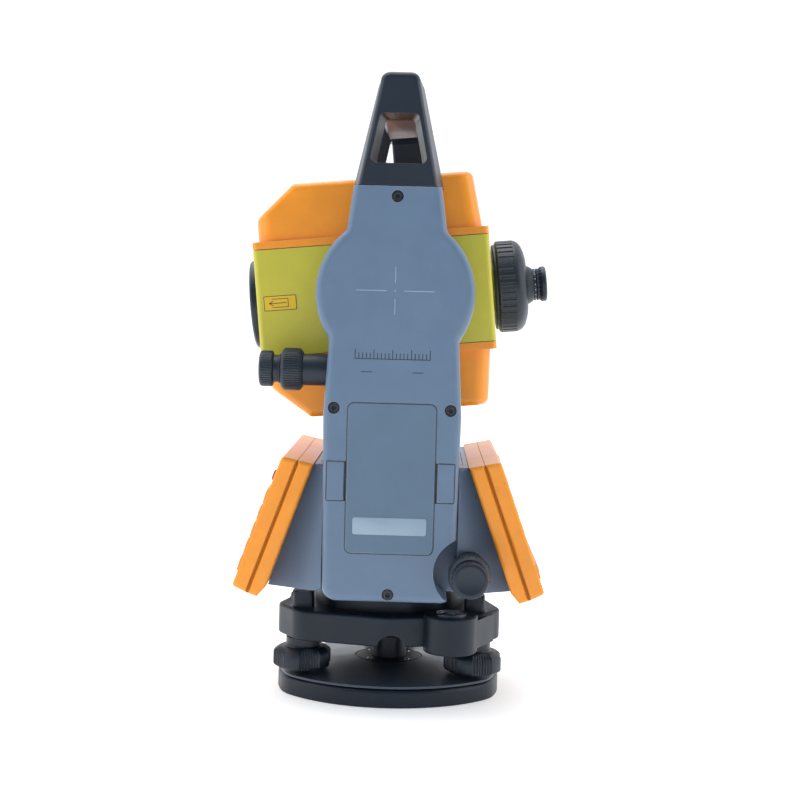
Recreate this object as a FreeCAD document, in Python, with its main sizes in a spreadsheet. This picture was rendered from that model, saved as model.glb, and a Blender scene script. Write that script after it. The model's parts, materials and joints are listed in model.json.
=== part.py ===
"""Surveying total station: tribrach, alidade with two standards, and a telescope on a trunnion.

Frame: +Z up along the vertical axis, +X towards the eyepiece, -Y on the battery side. The origin
is at the centre of the tripod thread, in the underside of the base plate. Millimetres.
"""
import FreeCAD, Part
import math
import os

import Sketcher
from FreeCAD import Placement, Rotation, Vector

os.makedirs("parts", exist_ok=True)
doc = FreeCAD.newDocument("total_station")

# ---------------------------------------------------------------- driving dimensions
DIMENSIONS = {
    # gaps and walls
    "seam": 0.4,
    "free_gap": 0.3,
    "running_gap": 0.05,
    "wall": 3.0,
    "overcut": 1.0,
    "bevel": 1.0,
    # base plate
    "base_thickness": 10.0,
    "base_side_radius": 76.8,
    "base_side_offset": 12.5,
    "base_corner_radius": 28.0,
    "base_rim_round": 2.0,
    "base_hub_radius": 19.9,
    "base_hub_rise": 6.5,
    "thread_radius": 7.94,
    "thread_depth": 12.5,
    "base_post_radius": 10.5,
    "base_post_top": 29.0,
    "spring_plate_thickness": 1.2,
    "spring_plate_reach": 70.0,
    "spring_plate_inset": 1.4,
    "spring_plate_crown": 15.2,
    # foot screws
    "foot_circle": 58.0,
    "foot_ball_radius": 5.0,
    "foot_ball_bottom": 4.3,
    "foot_ball_top": 9.6,
    "foot_neck_radius": 4.0,
    "foot_knob_radius": 17.3,
    "foot_knob_bottom": 14.7,
    "foot_knob_height": 12.7,
    "foot_knob_grooves": 12,
    "foot_groove_radius": 3.4,
    "foot_groove_circle": 19.2,
    "foot_collar_radius": 10.0,
    "foot_collar_top": 33.2,
    "foot_spindle_radius": 5.0,
    "foot_spindle_top": 54.4,
    "foot_cap_radius": 6.7,
    "foot_cap_height": 9.0,
    "foot_cap_roof": 1.6,
    # tribrach body
    "tribrach_bottom": 33.5,
    "tribrach_top": 51.0,
    "tribrach_radius": 59.5,
    "tribrach_reach": 69.0,
    "lobe_radius": 13.2,
    "tribrach_rim_round": 1.5,
    "bush_radius": 8.0,
    "foot_recess_radius": 10.7,
    "foot_recess_depth": 4.2,
    "cup_radius": 30.5,
    "lock_ring_radius": 36.2,
    "lock_ring_height": 4.0,
    "lock_ring_bottom": 40.0,
    "notch_radius": 8.5,
    "notch_x": 2.0,
    "notch_z": 32.0,
    "notch_start": 32.0,
    "level_x": 36.0,
    "level_y": -52.0,
    "level_boss_radius": 15.5,
    "level_boss_rise": 1.8,
    "level_boss_drop": 2.5,
    "vial_radius": 9.0,
    "vial_depth": 5.0,
    "vial_crown_radius": 6.75,
    "lock_knob_radius": 9.0,
    "lock_knob_length": 9.0,
    "lock_pin_radius": 2.0,
    "lock_knob_z": 42.0,
    # vertical axis
    "flange_radius": 45.0,
    "flange_top": 66.0,
    "socket_radius": 18.0,
    "socket_bottom": 38.0,
    "spigot_depth": 5.0,
    "axis_bush_radius": 15.0,
    "spindle_radius": 12.0,
    "spindle_bore": 7.0,
    "spindle_plate_radius": 24.0,
    "spindle_plate_thickness": 4.0,
    "circle_radius": 34.0,
    "circle_thickness": 2.0,
    # alidade base
    "alidade_bottom": 66.6,
    "alidade_top": 138.5,
    "alidade_half_bottom": 69.65,
    "alidade_half_top": 43.6,
    "alidade_half_depth": 68.0,
    "alidade_corner_depth": 50.0,
    "alidade_corner_half": 38.5,
    "alidade_edge_round": 4.0,
    "deck_thickness": 4.0,
    "board_height": 100.0,
    "board_thickness": 1.6,
    "board_half_width": 32.0,
    "board_half_length": 42.0,
    "board_stand": 6.0,
    # standards
    "standard_inner": 49.0,
    "standard_split": 56.0,
    "standard_outer": 88.0,
    "standard_bottom": 65.0,
    "standard_top": 293.3,
    "column_half_bottom": 36.4,
    "column_half_wide": 38.0,
    "column_wide_height": 168.0,
    "column_half_waist": 35.6,
    "column_waist_height": 211.0,
    "neck_half_low": 27.6,
    "neck_low_height": 268.0,
    "neck_half_top": 24.0,
    "bulge_radius": 43.7,
    "bulge_join_margin": 6.0,
    "standard_rim_round": 4.5,
    "standard_corner_round": 8.0,
    "waist_round": 5.0,
    "screw_head_radius": 3.0,
    "screw_head_depth": 2.4,
    "screw_shank_radius": 1.5,
    "screw_shank_length": 14.0,
    "screw_sink": 0.5,
    "cover_screw_x": 32.0,
    "cover_screw_middle": 172.0,
    "cover_screw_low": 69.5,
    "cover_screw_drop": 5.5,
    # trunnion
    "trunnion_height": 235.0,
    "trunnion_radius": 10.0,
    "bearing_radius": 14.0,
    "trunnion_flange_radius": 17.0,
    "trunnion_flange_thickness": 2.5,
    "vertical_circle_gap": 2.0,
    "trunnion_end": 62.0,
    # battery
    "battery_half_width": 24.2,
    "battery_bottom": 92.3,
    "battery_top": 175.0,
    "battery_corner_round": 3.5,
    "battery_plate": 4.2,
    "battery_proud": 0.6,
    "battery_depth": 24.0,
    "latch_near": 25.6,
    "latch_far": 35.0,
    "latch_bottom": 121.2,
    "latch_top": 142.6,
    "latch_thickness": 6.0,
    "latch_recess_depth": 11.0,
    "latch_core_bottom": 118.3,
    "latch_core_top": 166.0,
    "drive_core_rise": 9.0,
    # drives
    "drive_sleeve_radius": 8.9,
    "drive_journal_radius": 6.5,
    "drive_shaft_radius": 4.0,
    "drive_ring_radius": 11.8,
    "drive_ring_length": 12.6,
    "drive_ring_chamfer": 1.4,
    "drive_neck_radius": 8.2,
    "drive_neck_length": 4.1,
    "drive_cap_radius": 10.0,
    "drive_cap_length": 7.9,
    "drive_cap_round": 1.2,
    "vertical_drive_y": -68.0,
    "vertical_drive_z": 191.7,
    "vertical_sleeve_length": 13.4,
    "horizontal_drive_x": 44.7,
    "horizontal_drive_z": 82.2,
    "horizontal_sleeve_length": 17.8,
    "scoop_radius": 20.0,
    # keyboards
    "keyboard_tilt": 19.9,
    "keyboard_foot_x": 87.8,
    "keyboard_foot_z": 69.6,
    "keyboard_half_width": 74.0,
    "keyboard_height": 78.0,
    "keyboard_depth": 18.0,
    "keyboard_top_slant": 2.5,
    "keyboard_split": 9.0,
    "keyboard_edge_lean": -0.9,
    "keyboard_floor": 2.0,
    "keyboard_foot_rise": 6.2,
    "keyboard_foot_bevel": 2.8,
    "key_ridge_rise": 0.8,
    "key_ridge_margin": 1.3,
    "keyboard_rim_round": 2.0,
    "keyboard_wall": 2.5,
    "display_left": -66.0,
    "display_right": 12.0,
    "display_bottom": 24.0,
    "display_top": 71.0,
    "display_sink": 1.2,
    "display_thickness": 1.6,
    "key_length": 8.6,
    "key_height": 6.0,
    "key_proud": 1.4,
    "key_columns_first": 27.0,
    "key_columns_pitch": 11.5,
    "key_rows_first": 13.6,
    "key_rows_pitch": 10.2,
    "key_row_count": 5,
    "key_column_count": 4,
    "function_key_first": -57.0,
    "function_key_pitch": 20.0,
    "keypad_sheet": 1.2,
    "power_key_x": 60.0,
    "power_key_y": 65.2,
    "power_key_radius": 3.2,
    "power_key_proud": 1.5,
    "power_key_depth": 5.0,
    # handle
    "handle_top": 354.8,
    "handle_foot_half": 24.0,
    "handle_shoulder_half": 10.9,
    "handle_leg_inner": 59.0,
    "handle_crown_round": 7.0,
    "handle_bevel": 3.4,
    "window_bottom": 305.6,
    "window_top": 332.4,
    "window_half_bottom": 15.9,
    "window_half_top": 10.4,
    "window_round": 3.0,
    "grip_half": 11.0,
    "grip_bottom": 333.2,
    "grip_round": 5.0,
    "grip_bite": 4.0,
    "handle_seat_drop": 3.2,
    "handle_head_radius": 3.4,
    "handle_head_height": 3.0,
    "handle_shank_radius": 2.0,
    "handle_shank_length": 7.0,
    "handle_screw_x": 11.0,
    "handle_screw_y": 72.0,
    # data port on the far standard
    "port_half_width": 14.0,
    "port_bottom": 84.0,
    "port_top": 106.0,
    "port_depth": 6.0,
    "far_core_rise": 12.0,
    "port_cover_thickness": 3.0,
    "port_pull_half": 4.0,
    "port_pull_rise": 1.2,
    # telescope, in its own frame: x to the eyepiece, z up, origin on the trunnion axis
    "telescope_tilt": 5.6,
    "telescope_half_width": 45.5,
    "telescope_front": -80.3,
    "telescope_back": 55.0,
    "telescope_half_height": 30.4,
    "hump_front": -77.2,
    "hump_front_height": 47.8,
    "hump_top_front": -54.5,
    "hump_height": 67.0,
    "hump_top_back": 48.1,
    "hump_back_foot": 52.2,
    "hump_half_width": 42.9,
    "hump_corner_round": 9.0,
    "hump_round": 4.0,
    "hump_wall": 4.8,
    "hump_front_lean": 0.3,
    "hump_back_lean": 0.8,
    "lip_height": 4.2,
    "barrel_radius": 26.0,
    "barrel_bore": 21.0,
    "barrel_front": -86.2,
    "barrel_back": 10.0,
    "carrier_thickness": 6.0,
    "barrel_lip": 1.2,
    "carrier_step": 2.0,
    "objective_front": -81.2,
    "objective_thickness": 6.0,
    "objective_crown": 1.5,
    "objective_rise": 0.9,
    "objective_shoulder": 12.6,
    "cell_front": -14.0,
    "cell_length": 10.0,
    "cell_bore": 17.0,
    "cell_floor": 5.0,
    "eye_boss_radius": 15.9,
    "eye_boss_back": 73.0,
    "focus_radius": 27.2,
    "focus_bevel": 2.0,
    "focus_rim_width": 2.4,
    "focus_brow_radius": 14.0,
    "focus_front": 57.4,
    "focus_grip_back": 70.5,
    "focus_shoulder_radius": 21.0,
    "focus_shoulder_back": 76.0,
    "focus_cone_radius": 9.0,
    "focus_cone_back": 79.7,
    "eye_tube_radius": 7.0,
    "eye_tube_front": 60.0,
    "eye_flare_front": 80.2,
    "eye_flare_back": 90.2,
    "eye_flare_radius": 10.4,
    "eye_flare_root": 7.8,
    "eye_flare_lip": 1.6,
    "eye_bore": 5.4,
    "eye_lens_front": 84.0,
    "eye_lens_thickness": 3.0,
    "sight_front": 3.0,
    "sight_back": 28.0,
    "sight_overhang": 3.0,
    "sight_half_width": 7.0,
    "sight_tube_z": 87.6,
    "sight_tube_radius": 4.6,
    "sight_tube_bore": 3.0,
    # plate level
    "plate_level_x": 30.0,
    "plate_level_radius": 4.0,
    "plate_level_half_length": 24.0,
}


class Size:
    """A length with the spreadsheet expression that gives it."""

    def __init__(self, value, text):
        self.value = float(value)
        self.text = text

    def __add__(self, other):
        other = as_size(other)
        return Size(self.value + other.value, f"({self.text} + {other.text})")

    def __sub__(self, other):
        other = as_size(other)
        return Size(self.value - other.value, f"({self.text} - {other.text})")

    def __mul__(self, other):
        other = as_size(other)
        return Size(self.value * other.value, f"({self.text} * {other.text})")

    def __truediv__(self, other):
        other = as_size(other)
        return Size(self.value / other.value, f"({self.text} / {other.text})")

    def __neg__(self):
        return Size(-self.value, f"(0 - {self.text})")

    def __radd__(self, other):
        return as_size(other) + self

    def __rsub__(self, other):
        return as_size(other) - self

    def __rmul__(self, other):
        return as_size(other) * self


def as_size(number):
    if isinstance(number, Size):
        return number
    return Size(number, f"({float(number):.6f})")


class Sheet:
    """The driving dimensions: D.wall is the cell with the alias wall."""

    def __init__(self, dimensions):
        self.dimensions = dimensions
        cells = doc.addObject("Spreadsheet::Sheet", "Dims")
        for row, (alias, number) in enumerate(dimensions.items(), start=1):
            cells.set(f"A{row}", alias.replace("_", " "))
            cells.set(f"B{row}", str(number))
            cells.setAlias(f"B{row}", alias)

    def __getattr__(self, alias):
        return Size(self.dimensions[alias], f"Dims.{alias}")


D = Sheet(DIMENSIONS)
doc.recompute()

AXES = {"+X": Vector(1, 0, 0), "-X": Vector(-1, 0, 0), "+Y": Vector(0, 1, 0),
        "-Y": Vector(0, -1, 0), "+Z": Vector(0, 0, 1), "-Z": Vector(0, 0, -1)}
FOOT_ANGLES = {"left": 210.0, "right": 330.0, "rear": 90.0}
BETWEEN_FEET = 60.0
LOCK_ANGLE = 150.0
TOLERANCE = 0.01
# near corner, far corner and height of the processor, the shielded radio and the connector block
BOARD_PARTS = (((-12, -12), (6, 6), 2.0), ((10, 8), (28, 34), 3.5), ((-28, -38), (-18, -8), 6.0))
PIECES = []


# ---------------------------------------------------------------- building helpers
def bind(thing, **sizes):
    """Give each named property its value and its expression."""
    for name, size in sizes.items():
        size = as_size(size)
        setattr(thing, name, size.value)
        thing.setExpression(name, size.text)
    return thing


def place(thing, x=0, y=0, z=0, rotation=None):
    """Put an object at a bound position, turned by the rotation given."""
    spot = [as_size(x), as_size(y), as_size(z)]
    thing.Placement = Placement(Vector(*[s.value for s in spot]), rotation or Rotation())
    for letter, size in zip("xyz", spot):
        thing.setExpression(f"Placement.Base.{letter}", size.text)
    return thing


def towards(axis):
    return Rotation(AXES["+Z"], AXES[axis])


def piece(thing, label):
    thing.Label = label
    PIECES.append(thing)
    return thing


def cylinder(radius, length, x=0, y=0, z=0, axis="+Z"):
    rod = bind(doc.addObject("Part::Cylinder", "rod"), Radius=radius, Height=length)
    return place(rod, x, y, z, towards(axis))


def block(low, high):
    """A box between two corners."""
    low = [as_size(v) for v in low]
    high = [as_size(v) for v in high]
    solid = doc.addObject("Part::Box", "block")
    bind(solid, Length=high[0] - low[0], Width=high[1] - low[1], Height=high[2] - low[2])
    return place(solid, *low)


def fuse(*solids):
    if len(solids) == 1:
        return solids[0]
    joined = doc.addObject("Part::MultiFuse", "joined")
    joined.Shapes = list(solids)
    joined.Refine = True
    return joined


def common(*solids):
    shared = doc.addObject("Part::MultiCommon", "shared")
    shared.Shapes = list(solids)
    return shared


def cut(base, *tools):
    result = doc.addObject("Part::Cut", "cut")
    result.Base = base
    result.Tool = fuse(*tools)
    result.Refine = True
    return result


def group(*solids):
    together = doc.addObject("Part::Compound", "group")
    together.Links = list(solids)
    return together


def rounded_by(solid, radius_of):
    """Round each edge of a Part object by the radius that the function gives it, if any."""
    doc.recompute()
    chosen = [(n, radius_of(edge)) for n, edge in enumerate(solid.Shape.Edges, start=1)]
    soft = doc.addObject("Part::Fillet", "rounded")
    soft.Base = solid
    soft.Edges = [(n, radius.value, radius.value) for n, radius in chosen if radius]
    return soft


def rounded(solid, radius, wanted):
    """Round the edges of a Part object that the test picks."""
    return rounded_by(solid, lambda edge: radius if wanted(edge) else None)


def span(edge, axis):
    box = edge.BoundBox
    return {"X": (box.XMin, box.XMax), "Y": (box.YMin, box.YMax), "Z": (box.ZMin, box.ZMax)}[axis]


def along(edge, axis):
    """True for a straight edge that runs along the named axis."""
    lengths = {name: span(edge, name)[1] - span(edge, name)[0] for name in "XYZ"}
    return all((lengths[name] > TOLERANCE) == (name == axis) for name in "XYZ")


def at(edge, axis, level):
    low, high = span(edge, axis)
    level = as_size(level).value
    return abs(low - level) < TOLERANCE and abs(high - level) < TOLERANCE


def distance_out(edge):
    """How far an edge's middle is from the vertical axis."""
    middle = edge.CenterOfMass
    return math.hypot(middle.x, middle.y)


def start_sketch(body, plane, offset=0):
    """A sketch on one of the body's own origin planes, shifted along the plane's normal."""
    sketch = body.newObject("Sketcher::SketchObject", "sketch")
    origin_plane = next(f for f in body.Origin.OriginFeatures if f.Role == plane)
    sketch.AttachmentSupport = [(origin_plane, "")]
    sketch.MapMode = "FlatFace"
    offset = as_size(offset)
    sketch.AttachmentOffset = Placement(Vector(0, 0, offset.value), Rotation())
    sketch.setExpression("AttachmentOffset.Base.z", offset.text)
    return sketch


def hold(sketch, geometry, end, point):
    """Hold a sketch point at bound distances from the sketch origin."""
    for kind, size, zero_axis in (("DistanceX", point[0], -2), ("DistanceY", point[1], -1)):
        size = as_size(size)
        if size.value == 0:
            sketch.addConstraint(Sketcher.Constraint("PointOnObject", geometry, end, zero_axis))
            continue
        index = sketch.addConstraint(Sketcher.Constraint(kind, -1, 1, geometry, end, size.value))
        sketch.setExpression(f"Constraints[{index}]", size.text)


def draw_outline(sketch, points):
    """A closed outline of straight lines through bound corners."""
    corners = [Vector(as_size(x).value, as_size(y).value, 0) for x, y in points]
    count = len(corners)
    for n in range(count):
        sketch.addGeometry(Part.LineSegment(corners[n], corners[(n + 1) % count]), False)
    for n in range(count):
        sketch.addConstraint(Sketcher.Constraint("Coincident", n, 2, (n + 1) % count, 1))
        hold(sketch, n, 1, points[n])


def draw_circle(sketch, radius, centre):
    middle = Vector(as_size(centre[0]).value, as_size(centre[1]).value, 0)
    index = sketch.addGeometry(Part.Circle(middle, Vector(0, 0, 1), radius.value), False)
    hold(sketch, index, 3, centre)
    ring = sketch.addConstraint(Sketcher.Constraint("Radius", index, radius.value))
    sketch.setExpression(f"Constraints[{ring}]", radius.text)


def pad(body, sketch, length):
    feature = body.newObject("PartDesign::Pad", "pad")
    feature.Profile = sketch
    return bind(feature, Length=length)


def slab(plane, points, low, high):
    """A body padded from an outline. On XZ_Plane the sketch's normal is -Y."""
    body = doc.addObject("PartDesign::Body", "slab")
    low, high = as_size(low), as_size(high)
    sketch = start_sketch(body, plane, -high if plane == "XZ_Plane" else low)
    draw_outline(sketch, points)
    pad(body, sketch, high - low)
    return body


def soften(body, radius, wanted):
    """Round the edges of a body that the test picks."""
    doc.recompute()
    base = body.Tip
    edges = [f"Edge{n}" for n, edge in enumerate(base.Shape.Edges, start=1) if wanted(edge)]
    feature = body.newObject("PartDesign::Fillet", "fillet")
    feature.Base = (base, edges)
    return bind(feature, Radius=radius)


def turned(profile, x=0, y=0, z=0, axis="+Z"):
    """A body of revolution. The profile's points are (radius, distance along the axis)."""
    body = doc.addObject("PartDesign::Body", "turned")
    sketch = start_sketch(body, "XZ_Plane")
    draw_outline(sketch, profile)
    spin = body.newObject("PartDesign::Revolution", "revolution")
    spin.Profile = sketch
    spin.ReferenceAxis = (sketch, ["V_Axis"])
    spin.Angle = 360.0
    return place(body, x, y, z, towards(axis))


def tube(outer, inner, length, x=0, y=0, z=0, axis="+Z"):
    return turned([(inner, 0), (outer, 0), (outer, length), (inner, length)], x, y, z, axis)


def polar(radius, angle, sideways=0):
    """The X and Y of a point at an angle on a circle, shifted sideways along the tangent."""
    radius, sideways = as_size(radius), as_size(sideways)
    cosine, sine = math.cos(math.radians(angle)), math.sin(math.radians(angle))
    return radius * cosine - sideways * sine, radius * sine + sideways * cosine


# ---------------------------------------------------------------- tribrach
def three_sided_disc(side_radius, thickness, z):
    """The shape that three large discs share: a triangle with bowed sides."""
    discs = []
    for angle in FOOT_ANGLES.values():
        x, y = polar(D.base_side_offset, angle)
        discs.append(cylinder(side_radius, thickness, x, y, z))
    return common(*discs)


def make_base_plate():
    plate = three_sided_disc(D.base_side_radius, D.base_thickness, 0)
    plate = rounded(plate, D.base_corner_radius, lambda e: along(e, "Z"))
    plate = rounded(plate, D.base_rim_round, lambda e: at(e, "Z", D.base_thickness))
    hub = cylinder(D.base_hub_radius, D.base_hub_rise + D.wall, z=D.base_thickness - D.wall)
    hub = rounded(hub, D.base_rim_round * 0.5, lambda e: at(e, "Z", D.base_thickness + D.base_hub_rise))
    post = cylinder(D.base_post_radius, D.base_post_top - D.base_thickness, z=D.base_thickness)
    tools = [cylinder(D.thread_radius, D.thread_depth + 1, z=-1),
             cylinder(D.spindle_bore, D.base_post_top + 2, z=-1)]
    for angle in FOOT_ANGLES.values():
        x, y = polar(D.foot_circle, angle)
        seat = D.foot_ball_bottom - D.free_gap
        tools.append(cylinder(D.foot_ball_radius + D.free_gap, D.base_thickness, x, y, seat))
    piece(cut(fuse(plate, hub, post), *tools), "base_plate")


def make_spring_plate():
    """A shallow sprung cone from the hub to the rim, cut to the base plate's outline."""
    inner, outer = D.base_hub_radius + D.seam, D.spring_plate_reach
    thick = D.spring_plate_thickness
    cone = turned([(inner, D.spring_plate_crown), (outer, D.base_thickness),
                   (outer, D.base_thickness + thick), (inner, D.spring_plate_crown + thick)])
    outline = three_sided_disc(D.base_side_radius - D.spring_plate_inset, D.base_hub_rise + thick,
                               D.base_thickness)
    outline = rounded(outline, D.base_corner_radius, lambda e: along(e, "Z"))
    tools = []
    for angle in FOOT_ANGLES.values():
        x, y = polar(D.foot_circle, angle)
        tools.append(cylinder(D.foot_neck_radius + D.free_gap, D.base_hub_rise + 2, x, y,
                              D.base_thickness - 1))
    piece(cut(common(cone, outline), *tools), "spring_plate")


def make_foot_screw(side):
    """Ball end, grooved knob, collar and threaded spindle in one turned piece."""
    knob_top = D.foot_knob_bottom + D.foot_knob_height
    bevel = D.wall / 3
    x, y = polar(D.foot_circle, FOOT_ANGLES[side])
    screw = turned([
        (0, D.foot_ball_bottom), (D.foot_neck_radius, D.foot_ball_bottom),
        (D.foot_ball_radius, D.foot_ball_bottom + bevel), (D.foot_ball_radius, D.foot_ball_top - bevel),
        (D.foot_neck_radius, D.foot_ball_top), (D.foot_neck_radius, D.foot_knob_bottom),
        (D.foot_knob_radius - bevel, D.foot_knob_bottom),
        (D.foot_knob_radius, D.foot_knob_bottom + bevel), (D.foot_knob_radius, knob_top - bevel),
        (D.foot_knob_radius - bevel, knob_top), (D.foot_collar_radius, knob_top),
        (D.foot_collar_radius, D.foot_collar_top), (D.foot_spindle_radius, D.foot_collar_top),
        (D.foot_spindle_radius, D.foot_spindle_top), (0, D.foot_spindle_top),
    ], x, y)
    doc.recompute()
    volume = screw.Shape.Volume
    groove = start_sketch(screw, "XY_Plane", D.foot_knob_bottom - D.overcut)
    draw_circle(groove, D.foot_groove_radius, (D.foot_groove_circle, 0))
    pocket = screw.newObject("PartDesign::Pocket", "groove")
    pocket.Profile = groove
    pocket.Reversed = True
    bind(pocket, Length=D.foot_knob_height + D.overcut * 2)
    pattern = screw.newObject("PartDesign::PolarPattern", "grooves")
    pattern.Originals = [pocket]
    pattern.Axis = (groove, ["N_Axis"])
    pattern.Angle = 360
    pattern.Occurrences = int(D.foot_knob_grooves.value)
    screw.Tip = pattern
    doc.recompute()
    assert screw.Shape.Volume < volume, "the knob's grooves cut nothing"
    piece(screw, f"foot_screw_{side}")


def at_feet(make):
    """The same piece at each foot screw, as one group."""
    return group(*[make(*polar(D.foot_circle, angle)) for angle in FOOT_ANGLES.values()])


def lock_rotation():
    """Turns +Z to point out along the lock knob's axis."""
    angle = math.radians(LOCK_ANGLE)
    return Rotation(AXES["+Z"], Vector(math.cos(angle), math.sin(angle), 0))


def make_tribrach_body():
    height = D.tribrach_top - D.tribrach_bottom
    lobe = D.lobe_radius
    corners, tools = [], []
    for angle in sorted(FOOT_ANGLES.values()):
        corners += [polar(D.tribrach_reach, angle, -lobe), polar(D.tribrach_reach, angle, lobe)]
        corners.append(polar(D.tribrach_radius, angle + BETWEEN_FEET))
        x, y = polar(D.foot_circle, angle)
        tools.append(cylinder(D.bush_radius, height + 2, x, y, D.tribrach_bottom - 1))
        tools.append(cylinder(D.foot_recess_radius, D.foot_recess_depth + 1, x, y, D.tribrach_bottom - 1))
    body = slab("XY_Plane", corners, D.tribrach_bottom, D.tribrach_top)
    soften(body, lobe - D.seam, lambda e: along(e, "Z") and distance_out(e) > D.foot_circle.value)
    rim = D.tribrach_rim_round
    soften(body, rim, lambda e: at(e, "Z", D.tribrach_bottom) or at(e, "Z", D.tribrach_top))
    sunk = D.seam * 2
    boss = cylinder(D.level_boss_radius, height + D.level_boss_rise + D.level_boss_drop, D.level_x,
                    D.level_y, D.tribrach_bottom - D.level_boss_drop)
    boss = rounded(boss, rim, lambda e: not along(e, "Z"))
    body = fuse(body, boss, make_level_web(sunk))
    groove_top = D.lock_ring_bottom + D.lock_ring_height + D.free_gap
    tools.append(cylinder(D.lock_ring_radius + D.free_gap, groove_top - D.tribrach_bottom + 1,
                          z=D.tribrach_bottom - 1))
    tools.append(cylinder(D.cup_radius, height + 2, z=D.tribrach_bottom - 1))
    tools.append(cylinder(D.notch_radius, D.tribrach_radius, D.notch_x, -D.notch_start,
                          D.notch_z, "-Y"))
    tools.append(cylinder(D.vial_radius + D.running_gap, D.vial_depth + 2, D.level_x, D.level_y,
                          D.tribrach_top + D.level_boss_rise - D.vial_depth))
    pin_hole = cylinder(D.lock_pin_radius + D.running_gap, D.tribrach_radius)
    x, y = polar(D.lock_ring_radius - D.wall, LOCK_ANGLE)
    place(pin_hole, x, y, D.lock_knob_z, lock_rotation())
    piece(cut(body, *tools, pin_hole), "tribrach_body")
    bush_bottom = D.tribrach_bottom + D.foot_recess_depth
    piece(at_feet(lambda x, y: tube(D.bush_radius, D.foot_spindle_radius + D.running_gap,
                                    D.tribrach_top - bush_bottom, x, y, bush_bottom)),
          "foot_screw_bushes")
    piece(at_feet(make_foot_cap), "foot_screw_caps")


def make_level_web(sunk):
    """Metal between the level's boss and the foot lobe beside it, so that no notch parts them."""
    foot_x, foot_y = polar(D.foot_circle, FOOT_ANGLES["right"])
    run = math.dist((foot_x.value, foot_y.value), (D.level_x.value, D.level_y.value))
    out_x = (foot_y - D.level_y) / run
    out_y = (D.level_x - foot_x) / run
    return slab("XY_Plane", [
        (D.level_x, D.level_y),
        (D.level_x + out_x * D.level_boss_radius.value, D.level_y + out_y * D.level_boss_radius.value),
        (foot_x + out_x * D.lobe_radius.value, foot_y + out_y * D.lobe_radius.value), (foot_x, foot_y)],
        D.tribrach_bottom + sunk, D.tribrach_top - sunk)


def make_foot_cap(x, y):
    bore = D.foot_spindle_radius + D.free_gap * 2
    roof = D.foot_cap_height - D.foot_cap_roof
    edge = D.foot_cap_roof / 2
    return turned([(bore, 0), (D.foot_cap_radius, 0), (D.foot_cap_radius, D.foot_cap_height - edge),
                   (D.foot_cap_radius - edge, D.foot_cap_height), (0, D.foot_cap_height), (0, roof),
                   (bore, roof)], x, y, D.tribrach_top)


def make_lock():
    inner = D.cup_radius + D.free_gap
    piece(tube(D.lock_ring_radius, inner, D.lock_ring_height, z=D.lock_ring_bottom), "lock_ring")
    start = D.lock_ring_radius + D.free_gap * 2
    bevel = D.wall / 3
    face = D.tribrach_radius + D.free_gap
    end = face + D.lock_knob_length
    knob = turned([(0, start), (D.lock_pin_radius, start), (D.lock_pin_radius, face),
                   (D.lock_knob_radius - bevel, face), (D.lock_knob_radius, face + bevel),
                   (D.lock_knob_radius, end - bevel), (D.lock_knob_radius - bevel, end), (0, end)])
    place(knob, 0, 0, D.lock_knob_z, lock_rotation())
    piece(knob, "lock_knob")


def make_circular_level():
    bottom = D.tribrach_top + D.level_boss_rise - D.vial_depth
    crown = D.vial_depth + D.free_gap
    vial = turned([(0, 0), (D.vial_radius, 0), (D.vial_radius, D.vial_depth - D.bevel),
                   (D.vial_crown_radius, D.vial_depth), (0, crown)], D.level_x, D.level_y, bottom)
    piece(vial, "circular_level_glass")


# ---------------------------------------------------------------- vertical axis
def make_vertical_axis():
    seat = D.tribrach_top
    bore = D.axis_bush_radius
    spigot = D.cup_radius - D.seam
    piece(turned([
        (bore, D.socket_bottom), (D.socket_radius, D.socket_bottom),
        (D.socket_radius, seat - D.spigot_depth),
        (spigot, seat - D.spigot_depth), (spigot, seat), (D.flange_radius, seat),
        (D.flange_radius, D.flange_top - D.bevel),
        (D.flange_radius - D.bevel, D.flange_top), (bore, D.flange_top)]), "instrument_base")
    bush_bore = D.spindle_radius + D.running_gap
    piece(tube(bore, bush_bore, D.flange_top - D.socket_bottom, z=D.socket_bottom), "axis_bush")
    floor_top = D.alidade_bottom + D.wall
    plate_top = floor_top + D.spindle_plate_thickness
    piece(turned([
        (D.spindle_bore, D.socket_bottom), (D.spindle_radius, D.socket_bottom),
        (D.spindle_radius, floor_top), (D.spindle_plate_radius, floor_top),
        (D.spindle_plate_radius, plate_top), (D.spindle_bore, plate_top)]), "axis_spindle")
    piece(tube(D.circle_radius, D.spindle_radius, D.circle_thickness, z=plate_top),
          "horizontal_circle")


# ---------------------------------------------------------------- alidade base
def half_width_at(level):
    """Half the alidade base's width at a height, on its sloping sides."""
    slope = (D.alidade_half_bottom - D.alidade_half_top) / (D.alidade_top - D.alidade_bottom)
    return D.alidade_half_bottom - slope * (as_size(level) - D.alidade_bottom)


def trapezoid(low, high, inset):
    wide, narrow = half_width_at(low) - inset, half_width_at(high) - inset
    return [(-wide, low), (wide, low), (narrow, high), (-narrow, high)]


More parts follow.
